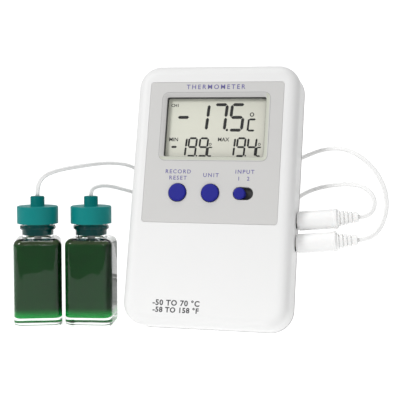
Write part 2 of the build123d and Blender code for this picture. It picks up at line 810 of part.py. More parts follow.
for number, (x, y, turn) in enumerate(bottle_places, 1):
    base = Plane(origin=Vector(x, y, 0) + shift, x_dir=(cos(turn), sin(turn), 0), z_dir=(0, 0, 1))
    inner_top = bottle_body_h - bottle_wall
    outside = square_body(base, 0, 0, bottle_body_h, bottle_foot_r, bottle_shoulder_r)
    inside = square_body(base, bottle_wall, bottle_base, inner_top, bottle_foot_r, bottle_shoulder_r - bottle_wall)
    filling = square_body(
        base, bottle_wall + liquid_gap, bottle_base + liquid_gap, inner_top - liquid_gap, bottle_foot_r,
        bottle_shoulder_r - bottle_wall,
    )
    with BuildPart() as bottle:
        add(outside)
        with BuildSketch(base.offset(bottle_body_h - bottle_wall)):
            Circle(neck_r)
        extrude(amount=neck_top - bottle_body_h + bottle_wall)
        with BuildSketch(base.offset(bead_bottom)):
            Circle(bead_r)
        extrude(amount=bead_h)
        fillet(
            bottle.edges().filter_by(GeomType.CIRCLE).filter_by(
                lambda e: abs(e.radius - bead_r) < 0.01
            ),
            bead_h * 0.4,
        )
        add(inside, mode=Mode.SUBTRACT)
        with BuildSketch(base.offset(neck_top)):
            Circle(neck_bore_r)
        extrude(amount=-(neck_top - bottle_body_h + 2 * bottle_wall), mode=Mode.SUBTRACT)
    save(bottle, f"bottle_{number}")

    with BuildPart() as glycol:
        add(filling)
        with BuildSketch(base.offset(stem_bottom - liquid_gap)):
            Circle(stem_r + liquid_gap)
        extrude(amount=neck_top - stem_bottom, mode=Mode.SUBTRACT)
    save(glycol, f"glycol_{number}")

    revolved(
        base,
        ((neck_bore_r, neck_top), (neck_r, neck_top), (neck_r, flange_bottom), (neck_bore_r, flange_bottom)),
        f"cap_liner_{number}",
    )
    with BuildPart() as cap:
        with BuildSketch(base.offset(cap_bottom)):
            Circle(cap_r)
        extrude(amount=cap_top - cap_bottom)
        fillet(cap.edges().filter_by(GeomType.CIRCLE).sort_by(Axis.Z)[-1], cap_round)
        with BuildSketch(base.offset(cap_bottom)):
            Circle(cap_skirt_bore)
        extrude(amount=cap_inner_top - cap_bottom, mode=Mode.SUBTRACT)
        with BuildSketch(base.offset(cap_top)):
            Circle(gland_r + fit)
        extrude(amount=-cap_top_t, mode=Mode.SUBTRACT)
    save(cap, f"cap_{number}")

    plug_seat = gland_plug_bottom + stem_seat
    revolved(
        base,
        ((0, plug_seat), (stem_r, plug_seat), (stem_r, gland_plug_bottom), (gland_plug_r, gland_plug_bottom),
         (gland_plug_r, flange_bottom), (neck_r, flange_bottom), (neck_r, cap_inner_top - fit),
         (gland_r, cap_inner_top - fit), (gland_r, gland_top - 0.3), (gland_r - 0.3, gland_top),
         (0, gland_top)),
        f"probe_gland_{number}",
    )
    with BuildPart() as stem:
        with BuildSketch(base.offset(stem_bottom)):
            Circle(stem_r)
        extrude(amount=plug_seat - stem_bottom)
        fillet(stem.edges().filter_by(GeomType.CIRCLE).sort_by(Axis.Z)[0], stem_r * 0.9)
    save(stem, f"probe_stem_{number}")

# ---------------------------------------------------------------- leads
# Routes from the case's front bottom middle, on the table. Each starts at its boot or gland.
coil_w = coil_columns * lead_d
coil_h = coil_layers * lead_d
coil_top = coil_h


def boot_point(number, along):
    return jack_plane(jack_heights[number]).offset(along).origin - shift


def gland_point(number):
    x, y, _ = bottle_places[number]
    return Vector(x, y, gland_top)


# lead 1 joins the lower jack to the left bottle, lead 2 the upper jack to the right bottle
lead_routes = {
    "lead_1_plug_side": [
        boot_point(1, boot_end), boot_point(1, boot_end + 4.6), (69.4, 23.6, 43.6), (71.8, 25.2, 51.2),
        (71.0, 27.0, 59.2), (67.0, 29.0, 66.8), (60.6, 31.4, 72.8), (52.6, 34.2, 76.2),
        (44.2, 37.6, 75.6), (36.0, 41.2, 72.6), (27.4, 44.0, 68.4), (17.8, 47.0, 64.8),
        (7.2, 50.0, 61.6), (-3.0, 53.6, 56.6), (-10.8, 58.4, 48.6), (-15.8, 63.4, 38.4),
        (-18.4, 67.8, 27.4), (-19.2, 71.4, 17.0), (-20.0, 76.0, coil_top - 1.4),
    ],
    "lead_1_bottle_side": [
        gland_point(0), gland_point(0) + Vector(0, 0, 5), (-73.6, 14.6, 64.8), (-68.4, 18.4, 67.4),
        (-60.0, 23.6, 68.8), (-50.4, 29.0, 69.6), (-41.6, 35.4, 68.2), (-36.8, 42.6, 63.0),
        (-36.4, 48.4, 54.8), (-38.8, 53.6, 45.4), (-42.4, 58.4, 36.0), (-45.6, 62.2, 25.4),
        (-47.0, 66.4, 15.6), (-47.2, 72.4, coil_top - 1.4),
    ],
    "lead_2_plug_side": [
        boot_point(0, boot_end), boot_point(0, boot_end + 3.2), (66.9, 25.0, 51.0), (68.2, 26.4, 55.2),
        (66.2, 28.2, 59.6), (61.8, 30.0, 62.2), (55.0, 32.2, 62.6), (47.4, 34.8, 61.2),
        (39.6, 38.2, 58.8), (32.6, 41.8, 54.8), (27.2, 46.0, 48.8), (24.0, 50.8, 41.6),
        (22.6, 56.0, 33.8), (22.0, 61.2, 26.0), (20.0, 66.6, 18.8), (17.0, 71.4, 13.2),
        (15.0, 76.2, coil_top - 1.4),
    ],
    "lead_2_bottle_side": [
        gland_point(1), gland_point(1) + Vector(0, 0, 3.9), (-51.2, 20.0, 61.5), (-47.2, 22.8, 61.6),
        (-42.4, 27.6, 59.4), (-36.6, 34.2, 56.8), (-30.8, 40.4, 53.0), (-26.4, 46.2, 47.4),
        (-23.8, 52.0, 40.6), (-22.4, 57.4, 33.4), (-21.2, 61.8, 26.6), (-18.4, 65.2, 20.2),
        (-15.2, 69.4, 14.6), (-12.6, 75.0, coil_top - 1.4),
    ],
}


def corner_radii(points):
    """Each arc is as large as its two runs allow."""
    radii = []
    for before, here, after in zip(points, points[1:], points[2:]):
        come, go = here - before, after - here
        turn = radians(come.get_angle(go))
        radii.append(0.45 * min(come.length, go.length) / tan(turn / 2))
    return radii


for label, route in lead_routes.items():
    points = [Vector(p) + shift for p in route]
    radii = corner_radii(points)
    print(label, "bend radii", [round(r, 1) for r in radii])
    with BuildPart() as lead:
        with BuildLine() as path:
            FilletPolyline(*points, radius=radii)
        with BuildSketch(Plane(origin=points[0], z_dir=points[1] - points[0])):
            Circle(lead_d / 2)
        sweep()
    save(lead, label)
    length = path.wires()[0].length
    print(label, "length", round(length, 1), "volume ratio",
          round(lead.part.volume / (pi * lead_d**2 / 4 * length), 4))

for number, (x, y) in enumerate(coil_places, 1):
    # a band round the bundle, at its far side
    band = Plane(origin=Vector(x, y + coil_mean_d / 2, coil_h / 2) + shift, x_dir=(0, 1, 0), z_dir=(1, 0, 0))
    with BuildPart() as tie:
        with BuildSketch(band.offset(-tie_w / 2)):
            RectangleRounded(coil_w + 2 * tie_t + tie_slack, coil_h, 1.2)
            RectangleRounded(coil_w + tie_slack, coil_h - 2 * tie_t, 1.0, mode=Mode.SUBTRACT)
        extrude(amount=tie_w)
    save(tie, f"coil_tie_{number}")
    middle = Plane(origin=Vector(x, y, 0) + shift)
    with BuildPart() as coil:
        with BuildSketch(middle):
            Circle((coil_mean_d + coil_w) / 2)
            Circle((coil_mean_d - coil_w) / 2, mode=Mode.SUBTRACT)
        extrude(amount=coil_h)
        fillet(coil.edges().filter_by(GeomType.CIRCLE), lead_d / 2)
        add(tie.part, mode=Mode.SUBTRACT)
    save(coil, f"coil_{number}")
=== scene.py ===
"""Looks for a two-channel digital thermometer with two glycol bottle probes on twin-wire leads.

Lengths are in metres, except in names ending in _mm or _MM and in the tables of places, which are in millimetres.
A place on the case is given in its front face: across from the middle, up from the lower edge, and the
depth into the case. Lead routes are measured from the case's front bottom middle, on the table.
"""

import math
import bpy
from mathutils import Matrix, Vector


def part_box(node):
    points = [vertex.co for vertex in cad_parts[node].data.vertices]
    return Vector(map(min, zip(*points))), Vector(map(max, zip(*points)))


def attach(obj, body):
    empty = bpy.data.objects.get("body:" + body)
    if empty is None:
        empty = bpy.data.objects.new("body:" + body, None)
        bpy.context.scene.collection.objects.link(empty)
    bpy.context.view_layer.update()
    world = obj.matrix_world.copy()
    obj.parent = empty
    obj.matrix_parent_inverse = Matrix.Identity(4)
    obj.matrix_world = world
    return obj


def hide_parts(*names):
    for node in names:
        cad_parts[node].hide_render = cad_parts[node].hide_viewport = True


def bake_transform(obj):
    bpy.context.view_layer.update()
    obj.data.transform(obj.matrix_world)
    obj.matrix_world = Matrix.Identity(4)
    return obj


bl_info = {
    "name": "Bottle probe thermometer",
    "version": (1, 0, 0),
    "blender": (4, 5, 0),
    "location": "3D Viewport > Sidebar > Thermometer",
    "description": "Leads, display, printing, glass and finishes of a digital thermometer with bottle probes",
    "category": "Object",
}

import bmesh
import bpy
from bpy.props import FloatProperty, FloatVectorProperty, IntProperty, PointerProperty
from mathutils import Matrix, Vector

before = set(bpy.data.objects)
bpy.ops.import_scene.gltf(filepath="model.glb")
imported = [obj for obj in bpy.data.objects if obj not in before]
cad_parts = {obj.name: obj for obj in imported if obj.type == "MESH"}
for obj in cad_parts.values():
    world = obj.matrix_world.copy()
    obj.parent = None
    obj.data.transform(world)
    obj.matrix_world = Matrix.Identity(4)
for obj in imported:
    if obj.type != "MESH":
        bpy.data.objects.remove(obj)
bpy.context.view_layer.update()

# places
MM = 0.001
DATUM = Vector((26.455, -25.0564, 0.0))  # in millimetres, the case's front bottom middle, on the table
FRONT_LIFT_MM = 4.243  # from the table to the front face's lower edge
LEAN = math.radians(15)
ACROSS = Vector((1, 0, 0))
UP_FACE = Vector((0, math.sin(LEAN), math.cos(LEAN)))
OUT = Vector((0, -math.cos(LEAN), math.sin(LEAN)))

CASE_MM = (70.0, 111.0, 9.5)  # width, height, corner
SEAM_DEPTH_MM = 15.3
LCD_FRONT_MM = 3.3  # depth of the display's front
WINDOW_MID_MM = 83.9
WINDOW_MM = (45.6, 28.5, 2.2)  # width, height, corner
BEVEL_MM = 1.3

COIL_MIDDLES = ((-33.5, 71.0), (1.5, 75.2))
COIL_STEP_MM = 1.8  # from one column of turns to the next
COIL_OUTER_MM = 15.3  # radius of the outer column
COIL_TOP_MM = 9.9
COIL_COLUMNS = 6
COLUMN_TURNS = 5
TURN_POINTS = 12
TURN_SPREAD = 1.035  # control points lie this much outside the turns that they make
LAST_TURN_MM = (6.3, 7.4, 2.0)  # over the top: its first radius, how much it grows, how far it rises
TIE_HEIGHT_MM = 5.4
TIE_SQUEEZE = 0.18  # how much flatter the coil is under its tie
TIE_SPREAD_DEG = 22.0
TIE_PLACE_MM = 10.8  # from the coil's middle back to the band's
TIE_BAND_MM = (11.8, 9.2, 1.0)  # inside: depth, height, corner
# across the band, and how far out from its inside: a crowned strip's outer face, then its inner one
TIE_STRIP = ((-2.5, 0.35), (-1.6, 0.72), (0.0, 0.8), (1.6, 0.72), (2.5, 0.35),
             (2.3, 0.05), (0.0, 0.0), (-2.3, 0.05))
TIE_ENDS_MM = (17.1, 7.2)  # where they start: back from the coil's middle, and up
TIE_STEPS = 24
TIE_STEP_MM = 0.176
TIE_LAY_MM = 0.5  # radius of the twist
TIE_END_MM = 0.45  # radius of one end

WEB_SHARE = 0.55  # the web between the twin wires, beside one wire's thickness
RIBBON_TURN = 0.12  # how fast the ribbon turns flat to the front
RIBBON_LEAST = 0.35  # sine of the lead's angle to front and back, above which it turns
RIBBON_TWIST = 0.22  # radians
TWIST_LENGTH = 0.045

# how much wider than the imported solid, and moved by how much (mm), for each bottle
GLYCOL_FIT = ((1.085, (0.0, 0.0)), (1.05, (-0.35, -0.06)))
GLYCOL_HEIGHTS_MM = (0.0, 60.0)
GLAND_WIDER = 1.03
GLAND_HEIGHTS_MM = (30.0, 47.95)

# from the boot to the coil, and from the gland to the coil
PLUG_ROUTES = (
    (
        (60.291, 21.652, 39.072), (64.872, 21.762, 39.483), (69.4, 23.6, 43.6), (71.8, 25.2, 51.2),
        (71.0, 27.0, 59.2), (67.0, 29.0, 66.8), (60.6, 31.4, 72.8), (52.6, 34.2, 76.2), (44.2, 37.6, 75.6),
        (36.0, 41.2, 72.6), (27.4, 44.0, 68.4), (17.8, 47.0, 64.8), (7.2, 50.0, 61.6), (-3.0, 53.6, 56.6),
        (-10.8, 58.4, 48.6), (-15.8, 63.4, 38.4), (-18.4, 67.6, 27.4), (-18.2, 69.8, 18.6),
        (-17.9, 72.8, 12.6),
    ),
    (
        (60.291, 24.111, 48.248), (63.478, 24.188, 48.534), (66.2, 25.0, 50.8), (66.8, 26.4, 54.8),
        (64.6, 28.2, 58.6), (60.4, 30.0, 60.9), (54.4, 32.2, 61.3), (47.4, 34.8, 60.4), (39.6, 38.2, 58.4),
        (32.6, 41.8, 54.8), (27.2, 46.0, 48.8), (24.0, 50.8, 41.6), (22.6, 56.0, 33.8), (22.0, 61.2, 26.0),
        (20.0, 66.6, 18.8), (17.8, 71.8, 13.6), (17.2, 77.0, 11.0),
    ),
)
BOTTLE_ROUTES = (
    (
        (-75.9, 12.2, 55.2), (-75.9, 12.2, 59.8), (-74.0, 14.4, 63.8), (-69.0, 18.0, 66.2),
        (-60.0, 23.6, 67.9), (-50.4, 29.0, 69.2), (-41.6, 35.4, 68.2), (-36.8, 42.6, 63.0),
        (-36.4, 48.4, 54.8), (-38.8, 53.6, 45.4), (-42.4, 58.4, 36.0), (-45.6, 62.2, 25.4),
        (-47.4, 67.0, 16.6), (-47.8, 72.6, 12.6),
    ),
    (
        (-53.8, 18.4, 55.2), (-53.8, 18.4, 57.6), (-51.9, 19.6, 59.3), (-47.8, 22.4, 59.7),
        (-42.4, 27.6, 57.8), (-36.6, 34.2, 55.2), (-30.8, 40.4, 53.0), (-26.4, 46.2, 47.4),
        (-23.8, 52.0, 40.6), (-22.4, 57.4, 33.4), (-21.2, 61.8, 26.6), (-18.4, 65.2, 20.8),
        (-15.2, 69.8, 15.6), (-12.9, 75.8, 12.4),
    ),
)

SEGMENTS = {"1": "bc", "4": "fgbc", "5": "afgcd", "7": "abc", "9": "abcdfg", "-": "g", "C": "aedl"}
DIGIT_SLANT = 0.07
CAPITAL_SHARE = 0.7  # a capital's height, beside the letter size
# sign, right edge, top, bottom, width, stroke
BIG_READING = (("-", -11.55, 94.15, 83.1, 5.2, 1.3), ("1", -3.5, 94.15, 83.1, 5.0, 1.3),
               ("7", 4.35, 94.15, 83.1, 5.2, 1.3), ("5", 11.75, 94.15, 83.1, 5.2, 1.3),
               ("C", 17.4, 87.75, 82.95, 3.0, 0.85))
LOW_READING = (("-", -16.2, 79.5, 71.85, 2.7, 0.9), ("1", -12.35, 79.5, 71.85, 3.1, 0.85),
               ("9", -7.95, 79.5, 71.85, 3.3, 0.85), ("9", -3.05, 79.5, 71.85, 3.4, 0.85),
               ("C", -0.7, 75.6, 71.9, 1.8, 0.6))
HIGH_READING = (("1", 8.6, 79.6, 72.0, 3.1, 0.85), ("9", 13.05, 79.6, 72.0, 3.3, 0.85),
                ("4", 17.75, 79.6, 72.0, 3.4, 0.85), ("C", 20.15, 75.75, 72.05, 1.8, 0.6))
# across, up, radius
POINTS = ((4.75, 83.15, 0.55), (-7.75, 71.95, 0.36), (13.3, 72.15, 0.36))
DEGREES = ((15.15, 89.85, 0.95), (-2.05, 76.95, 0.6), (18.95, 77.05, 0.6))
DEGREE_BORE = 0.58
# words, across, up, letter height, letter spacing
DISPLAY_WORDS = (("CH1", -18.5, 93.8, 1.3, 1.0), ("MIN", -18.2, 78.85, 1.6, 1.0), ("MAX", 3.5, 78.95, 1.6, 1.0))
FASCIA_WORDS = (("THERMOMETER", -0.4, 100.95, 1.95, 1.42), ("RECORD", -14.3, 64.3, 1.65, 1.3),
                ("RESET", -14.25, 61.6, 1.65, 1.3), ("UNIT", -0.1, 62.9, 1.65, 1.35),
                ("INPUT", 14.2, 64.5, 1.65, 1.3), ("1", 11.8, 61.6, 1.6, 1.0), ("2", 15.8, 61.6, 1.6, 1.0))
RANGE_WORDS = (("-50 TO 70 °C", -11.4, 9.2, 2.2, 1.12), ("-58 TO 158 °F", -11.4, 6.3, 2.05, 1.12))
# name, corners of the cross-section as (inset, depth), finish, slot
WINDOW_FRAMES = (
    ("window_bezel", ((-0.12, -0.03), (-0.55, -0.03), (-0.6, 0.1), (0.02, 0.12), (BEVEL_MM + 0.05, 1.02),
                      (BEVEL_MM + 0.05, 0.92)), "bezel_grey", "fascia_grey"),
    # painted shade: a dark ring inside the bevel, for the shade that the window's wall casts on the display
    ("window_gasket", ((BEVEL_MM, 1.1), (BEVEL_MM + 0.14, 1.05), (BEVEL_MM + 0.16, 2.19), (BEVEL_MM, 2.19)),
     "gasket_grey", "black_plastic"),
    # painted shade: a thin dark line standing in for the shade in the groove round the bevel
    ("window_line", ((-0.62, -0.01), (-0.62, -0.045), (-0.46, -0.045), (-0.46, -0.01)),
     "line_grey", "fascia_grey"),
    # painted shade: a dark frame behind the lens, for the shade at the display's edges
    ("display_mask", ((-0.9, 3.21), (BEVEL_MM + 0.1, 3.21), (BEVEL_MM + 0.1, 3.27), (-0.9, 3.27)),
     "gasket_grey", "black_plastic"),
)


def on_face(across, up, deep):
    """A place on the case, from millimetres across, up and deep."""
    origin = (DATUM + Vector((0, 0, FRONT_LIFT_MM))) * MM
    return origin + (ACROSS * across + UP_FACE * up - OUT * deep) * MM


def face_matrix(across, up, deep):
    """Puts a flat shape on the case, at a place on it and turned to its lean."""
    return Matrix.Translation(on_face(across, up, deep)) @ Matrix((ACROSS, UP_FACE, OUT)).transposed().to_4x4()


def from_datum(point):
    """A place on the table or above it, from millimetres."""
    return (Vector(point) + DATUM) * MM


# making things
def add_piece(name, mesh, look, body="thermometer"):
    """A mesh in its finish, as an object at the origin that moves with a body."""
    piece = bpy.data.objects.new(name, mesh)
    bpy.context.scene.collection.objects.link(piece)
    mesh.materials.clear()
    mesh.materials.append(finish(look))
    if body:
        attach(piece, body)
    return piece


def mesh_of(solid, name, smooth=True):
    """A closed mesh from a bmesh, with its faces outwards."""
    bmesh.ops.recalc_face_normals(solid, faces=solid.faces)
    mesh = bpy.data.meshes.new(name)
    solid.to_mesh(mesh)
    solid.free()
    if smooth:
        mesh.shade_smooth()
        mesh.set_sharp_from_angle(angle=math.radians(40))
    return mesh


def taken(mesh, solid=None):
    """A bmesh that has the faces of a mesh, which is removed."""
    solid = solid or bmesh.new()
    solid.from_mesh(mesh)
    bpy.data.meshes.remove(mesh)
    return solid


def join_loops(solid, loops, closed):
    """Fills from each loop of corners to the next; closed joins the last to the first, or else both are capped."""
    for one, two in zip(loops, loops[1:] + loops[:1] if closed else loops[1:]):
        for i in range(len(one)):
            j = (i + 1) % len(one)
            solid.faces.new((one[i], one[j], two[j], two[i]))
    if not closed:
        solid.faces.new(loops[0][::-1])
        solid.faces.new(loops[-1])


def raised(solid, outline, depth, proud):
    """Adds a flat prism on the case: an outline, from a depth to proud of it."""
    back = [solid.verts.new(on_face(x, y, depth)) for x, y in outline]
    front = [solid.verts.new(on_face(x, y, depth - proud)) for x, y in outline]
    join_loops(solid, [back, front], closed=False)


def circle_outline(x, y, radius, corners):
    """Corner points of a circle, anticlockwise."""
    angles = [math.tau * k / corners for k in range(corners)]
    return [(x + radius * math.cos(a), y + radius * math.sin(a)) for a in angles]


def rounded_outline(width, height, corner, steps=6):
    """Corner points of a rounded rectangle, anticlockwise."""
    corner = max(corner, 0.01)
    outline = []
    for quarter, (sx, sy) in enumerate(((1, 1), (-1, 1), (-1, -1), (1, -1))):
        x, y = sx * (width / 2 - corner), sy * (height / 2 - corner)
        for i in range(steps + 1):
            angle = math.radians(90 * quarter + 90 * i / steps)
            outline.append((x + corner * math.cos(angle), y + corner * math.sin(angle)))
    return outline


def window_ring(name, section):
    """A closed frame round the window. section holds (inset, depth) corners of its cross-section."""
    width, height, corner = WINDOW_MM
    solid = bmesh.new()
    loops = []
    for inset, deep in section:
        outline = rounded_outline(width - 2 * inset, height - 2 * inset, corner - inset)
        loops.append([solid.verts.new(on_face(x, WINDOW_MID_MM + y, deep)) for x, y in outline])
    join_loops(solid, loops, closed=True)
    return mesh_of(solid, name)


def text_mesh(solid, words, depth, proud, weight):
    """Adds words to a bmesh, from a table of words, with their strokes thickened by weight (mm)."""
    for body, across, up, height, spacing in words:
        letters = bpy.data.curves.new("letters", "FONT")
        letters.body = body
        letters.size = height * MM / CAPITAL_SHARE
        letters.space_character = spacing
        letters.align_x = letters.align_y = "CENTER"
        letters.resolution_u = 3
        letters.offset = weight * MM
        letters.extrude = proud * MM
        flat = evaluated_mesh(bpy.data.objects.new("letters", letters))
        flat.transform(face_matrix(across, up, depth))
        taken(flat, solid)


def evaluated_mesh(holder):
    """The mesh that a new object's curve or modifiers give. The object is removed."""
    bpy.context.scene.collection.objects.link(holder)
    graph = bpy.context.evaluated_depsgraph_get()
    graph.update()
    mesh = bpy.data.meshes.new_from_object(holder.evaluated_get(graph))
    bpy.data.objects.remove(holder)
    return mesh


class Growth:
    """A geometry node tree with named sizes, made a plain mesh once it is built."""

    def __init__(self, name):
        self.name = name
        self.group = bpy.data.node_groups.new(name, "GeometryNodeTree")
        self.group.interface.new_socket("Geometry", in_out="OUTPUT", socket_type="NodeSocketGeometry")
        self.sizes = {}
        self.given = self.group.nodes.new("NodeGroupInput")

    def size(self, name, value):
        socket = self.group.interface.new_socket(name, in_out="INPUT", socket_type="NodeSocketFloat")
        self.sizes[socket.identifier] = value
        return self.given.outputs[name]

    def add(self, kind, settings=None, values=None):
        node = self.group.nodes.new(kind)
        for key, value in (settings or {}).items():
            setattr(node, key, value)
        for key, value in (values or {}).items():
            if isinstance(value, bpy.types.NodeSocket):
                self.group.links.new(value, node.inputs[key])
            else:
                node.inputs[key].default_value = value
        return node.outputs[0]

    def tube(self, line, sides, radius):
        """A round tube along a line, with closed ends."""
        circle = self.add("GeometryNodeCurvePrimitiveCircle", None, {"Resolution": sides, "Radius": radius})
        return self.add("GeometryNodeCurveToMesh", None, {
            "Curve": line, "Profile Curve": circle, "Fill Caps": True,
        })

    def mesh(self, geometry, material):
        """Ends the tree and returns what it makes."""
        whole = self.add("GeometryNodeRealizeInstances", values={"Geometry": geometry})
        painted = self.add("GeometryNodeSetMaterial", values={"Geometry": whole, "Material": material})
        end = self.group.nodes.new("NodeGroupOutput")
        self.group.links.new(painted, end.inputs[0])
        holder = bpy.data.objects.new(self.name, bpy.data.meshes.new(self.name))
        modifier = holder.modifiers.new(self.name, "NODES")
        modifier.node_group = self.group
        for identifier, value in self.sizes.items():
            modifier[identifier] = value
        return evaluated_mesh(holder)


# finishes
class Value:
    """A shader socket that takes part in sums; each sum adds its Math node."""

    def __init__(self, paint, socket):
        self.paint = paint
        self.socket = socket

    def _sum(self, operation, *values):
        return self.paint.add("ShaderNodeMath", {"operation": operation}, dict(enumerate(values)))

    def __add__(self, other):
        return self._sum("ADD", self, other)

    __radd__ = __add__

    def __sub__(self, other):
        return self._sum("SUBTRACT", self, other)

    def __rsub__(self, other):
        return self._sum("SUBTRACT", other, self)

    def __mul__(self, other):
        return self._sum("MULTIPLY", self, other)

    __rmul__ = __mul__

    def wave(self):
        return self._sum("SINE", self)

    def between(self, low, high):
        """0 below low, 1 above high, smooth between."""
        return self.paint.add(
            "ShaderNodeMapRange", {"interpolation_type": "SMOOTHSTEP"},
            {"Value": self, "From Min": low, "From Max": high},
        )


class Paint:
    """One material: a Principled shader and the nodes that vary it."""

    def __init__(self, name, constants):
        self.material = bpy.data.materials.new(name)
        self.material.use_nodes = True
        self.nodes = self.material.node_tree.nodes
        self.links = self.material.node_tree.links
        self.nodes.clear()
        self.shader = self.nodes.new("ShaderNodeBsdfPrincipled")
        end = self.nodes.new("ShaderNodeOutputMaterial")
        self.links.new(self.shader.outputs[0], end.inputs[0])
        for socket, value in constants.items():
            self.feed(self.shader.inputs[socket], value)

    def feed(self, socket, value):
        if isinstance(value, Value):
            self.links.new(value.socket, socket)
        elif socket.type == "RGBA" and len(value) == 3:
            socket.default_value = (*value, 1.0)
        else:
            socket.default_value = value

    def add(self, kind, settings=None, values=None, out=0):
        node = self.nodes.new(kind)
        for key, value in (settings or {}).items():
            if key == "stops":
                while len(node.color_ramp.elements) < len(value):
                    node.color_ramp.elements.new(0.5)
                for stop, (place, colour) in zip(node.color_ramp.elements, value):
                    stop.position = place
                    stop.color = (*colour, 1.0)
            else:
                setattr(node, key, value)
        for key, value in (values or {}).items():
            self.feed(node.inputs[key], value)
        return Value(self, node.outputs[out])

    def place(self):
        return self.add("ShaderNodeTexCoord", out="Object")

    def noise(self, place, size_mm, detail=2.0, roughness=0.5):
        """Cloudy noise, one cloud being about size_mm across."""
        return self.add("ShaderNodeTexNoise", None, {
            "Vector": place, "Scale": 1000.0 / size_mm, "Detail": detail, "Roughness": roughness,
        })

    def axes(self, place, middle=(0, 0, 0), turn=(0, 0, 0), stretch=(1, 1, 1)):
        """The three coordinates, measured from middle and turned."""
        moved = self.add("ShaderNodeVectorMath", {"operation": "SUBTRACT"}, {0: place, 1: middle})
        turned = self.add("ShaderNodeMapping", None, {"Vector": moved, "Rotation": turn, "Scale": stretch})
        parts = self.add("ShaderNodeSeparateXYZ", None, {0: turned})
        return turned, *(Value(self, parts.socket.node.outputs[k]) for k in range(3))

    def mix(self, share, first, second):
        return self.add("ShaderNodeMix", {"data_type": "RGBA"}, {0: share, 6: first, 7: second}, out=2)

    def bump(self, height, depth_mm):
        self.set(normal=self.add("ShaderNodeBump", None, {"Height": height, "Distance": depth_mm * MM}))

    def set(self, **values):
        for key, value in values.items():
            self.feed(self.shader.inputs[key.replace("_", " ").title()], value)


def shade(colour, factor):
    return tuple(min(1.0, c * factor) for c in colour)


def moulded(name, colour, grain_mm, grain_depth_mm, low_rough, high_rough, mottle, constants=None):
    """Moulded plastic or rubber: fine spark-eroded grain, and a slight cloudiness of colour."""
    paint = Paint(name, {"IOR": 1.49, **(constants or {})})
    place = paint.place()
    grain = paint.noise(place, grain_mm, 3.0, 0.6)
    cloud = paint.noise(place, 18.0, 2.0)
    handled = paint.noise(place, 6.0, 3.0, 0.6)
    mottled = paint.mix(cloud * 0.7 + grain * 0.3, shade(colour, 1 - mottle), shade(colour, 1 + mottle))
    paint.set(base_color=mottled)
    paint.set(roughness=handled * (high_rough - low_rough) + low_rough)
    paint.bump(grain, grain_depth_mm)
    return paint.material


def metal(name, colour, low_rough, high_rough, brush_axis):
    """Plated or brushed metal, with brush lines along one axis."""
    paint = Paint(name, {"Metallic": 1.0})
    place = paint.place()
    stretch = [1.0, 1.0, 1.0]
    stretch[brush_axis] = 0.06
    along, *_ = paint.axes(place, stretch=stretch)
    lines = paint.noise(along, 0.5, 4.0, 0.6)
    smear = paint.noise(place, 4.0, 2.0)
    paint.set(base_color=paint.mix(smear, shade(colour, 0.9), colour))
    paint.set(roughness=lines * (high_rough - low_rough) + low_rough)
    paint.bump(lines, 0.004)
    return paint.material


def display_glass(colour):
    """The reflective display: warm green-grey, with painted shade making it a little darker towards its lower
    right.
    """
    paint = Paint("lcd_glass", {"IOR": 1.5, "Coat Roughness": 0.05, "Coat Weight": 0.15})
    place = paint.place()
    _, x, _, z = paint.axes(place, middle=on_face(0, WINDOW_MID_MM, LCD_FRONT_MM))
    # painted shade: the display darkens towards its lower right, away from the light
    painted_shade_falloff = (x * 20.0 - z * 26.0).between(-1.0, 1.0)
    speck = paint.noise(place, 0.25, 2.0)
    warm = paint.noise(place, 14.0, 1.0)
    tone = paint.mix(warm, colour, (colour[0] * 1.02, colour[1] * 0.985, colour[2] * 1.0))
    tone = paint.mix(painted_shade_falloff, tone, (colour[0] * 0.92, colour[1] * 0.88, colour[2] * 0.92))
    paint.set(base_color=paint.mix(speck * 0.12, tone, shade(colour, 0.8)))
    paint.set(roughness=speck * 0.1 + 0.38)
    paint.bump(speck, 0.004)
    return paint.material


def clear_window():
    paint = Paint("lens_clear", {"Base Color": (1.0, 1.0, 1.0), "IOR": 1.49})
    smear = paint.noise(paint.place(), 9.0, 3.0, 0.6)
    paint.set(alpha=smear * 0.01 + 0.012, roughness=smear * 0.08 + 0.03)
    return paint.material


def bottle_glass(colour):
    paint = Paint("bottle_glass", {
        "Base Color": colour, "Transmission Weight": 1.0, "IOR": 1.4, "Specular IOR Level": 0.25,
    })
    place = paint.place()
    ripple = paint.noise(place, 9.0, 1.0)
    paint.set(roughness=paint.noise(place, 3.0, 2.0) * 0.02)
    paint.bump(ripple, 0.12)
    return paint.material


def glycol(colour, glow):
    """Dark green glycol, with painted light: a painted glow where light comes up through the base, a painted paler
    side on its left, painted shade making its right darker, and a painted highlight on its shoulder.
    """
    paint = Paint("glycol_green", {"IOR": 1.43, "Specular IOR Level": 0.0})
    place = paint.place()
    _, _, _, z = paint.axes(place)
    normal = paint.add("ShaderNodeNewGeometry", out="Normal")
    _, across, _, upward = paint.axes(normal)
    cloud = paint.noise(place, 11.0, 2.0)
    # painted light: the liquid near the base takes the glow colour, as if lit from the floor
    foot = 1 - z.between(0.0042, 0.0092)
    body = paint.mix(cloud, shade(colour, 0.8), shade(colour, 1.2))
    # painted light: paler green where the surface faces left, towards the key light
    body = paint.mix((across * -1).between(0.45, 1.0) * 0.8, body, (0.012, 0.16, 0.045))
    # painted shade: near black where the surface faces right
    body = paint.mix(across.between(0.35, 0.95) * 0.8, body, shade(colour, 0.25))
    # painted highlight: brownish where the shoulder faces up
    body = paint.mix(upward.between(0.2, 0.75) * 0.6, body, (0.085, 0.095, 0.05))
    paint.set(base_color=paint.mix(foot * foot, body, glow))
    paint.set(roughness=cloud * 0.08 + 0.06)
    paint.bump(cloud, 0.05)
    return paint.material


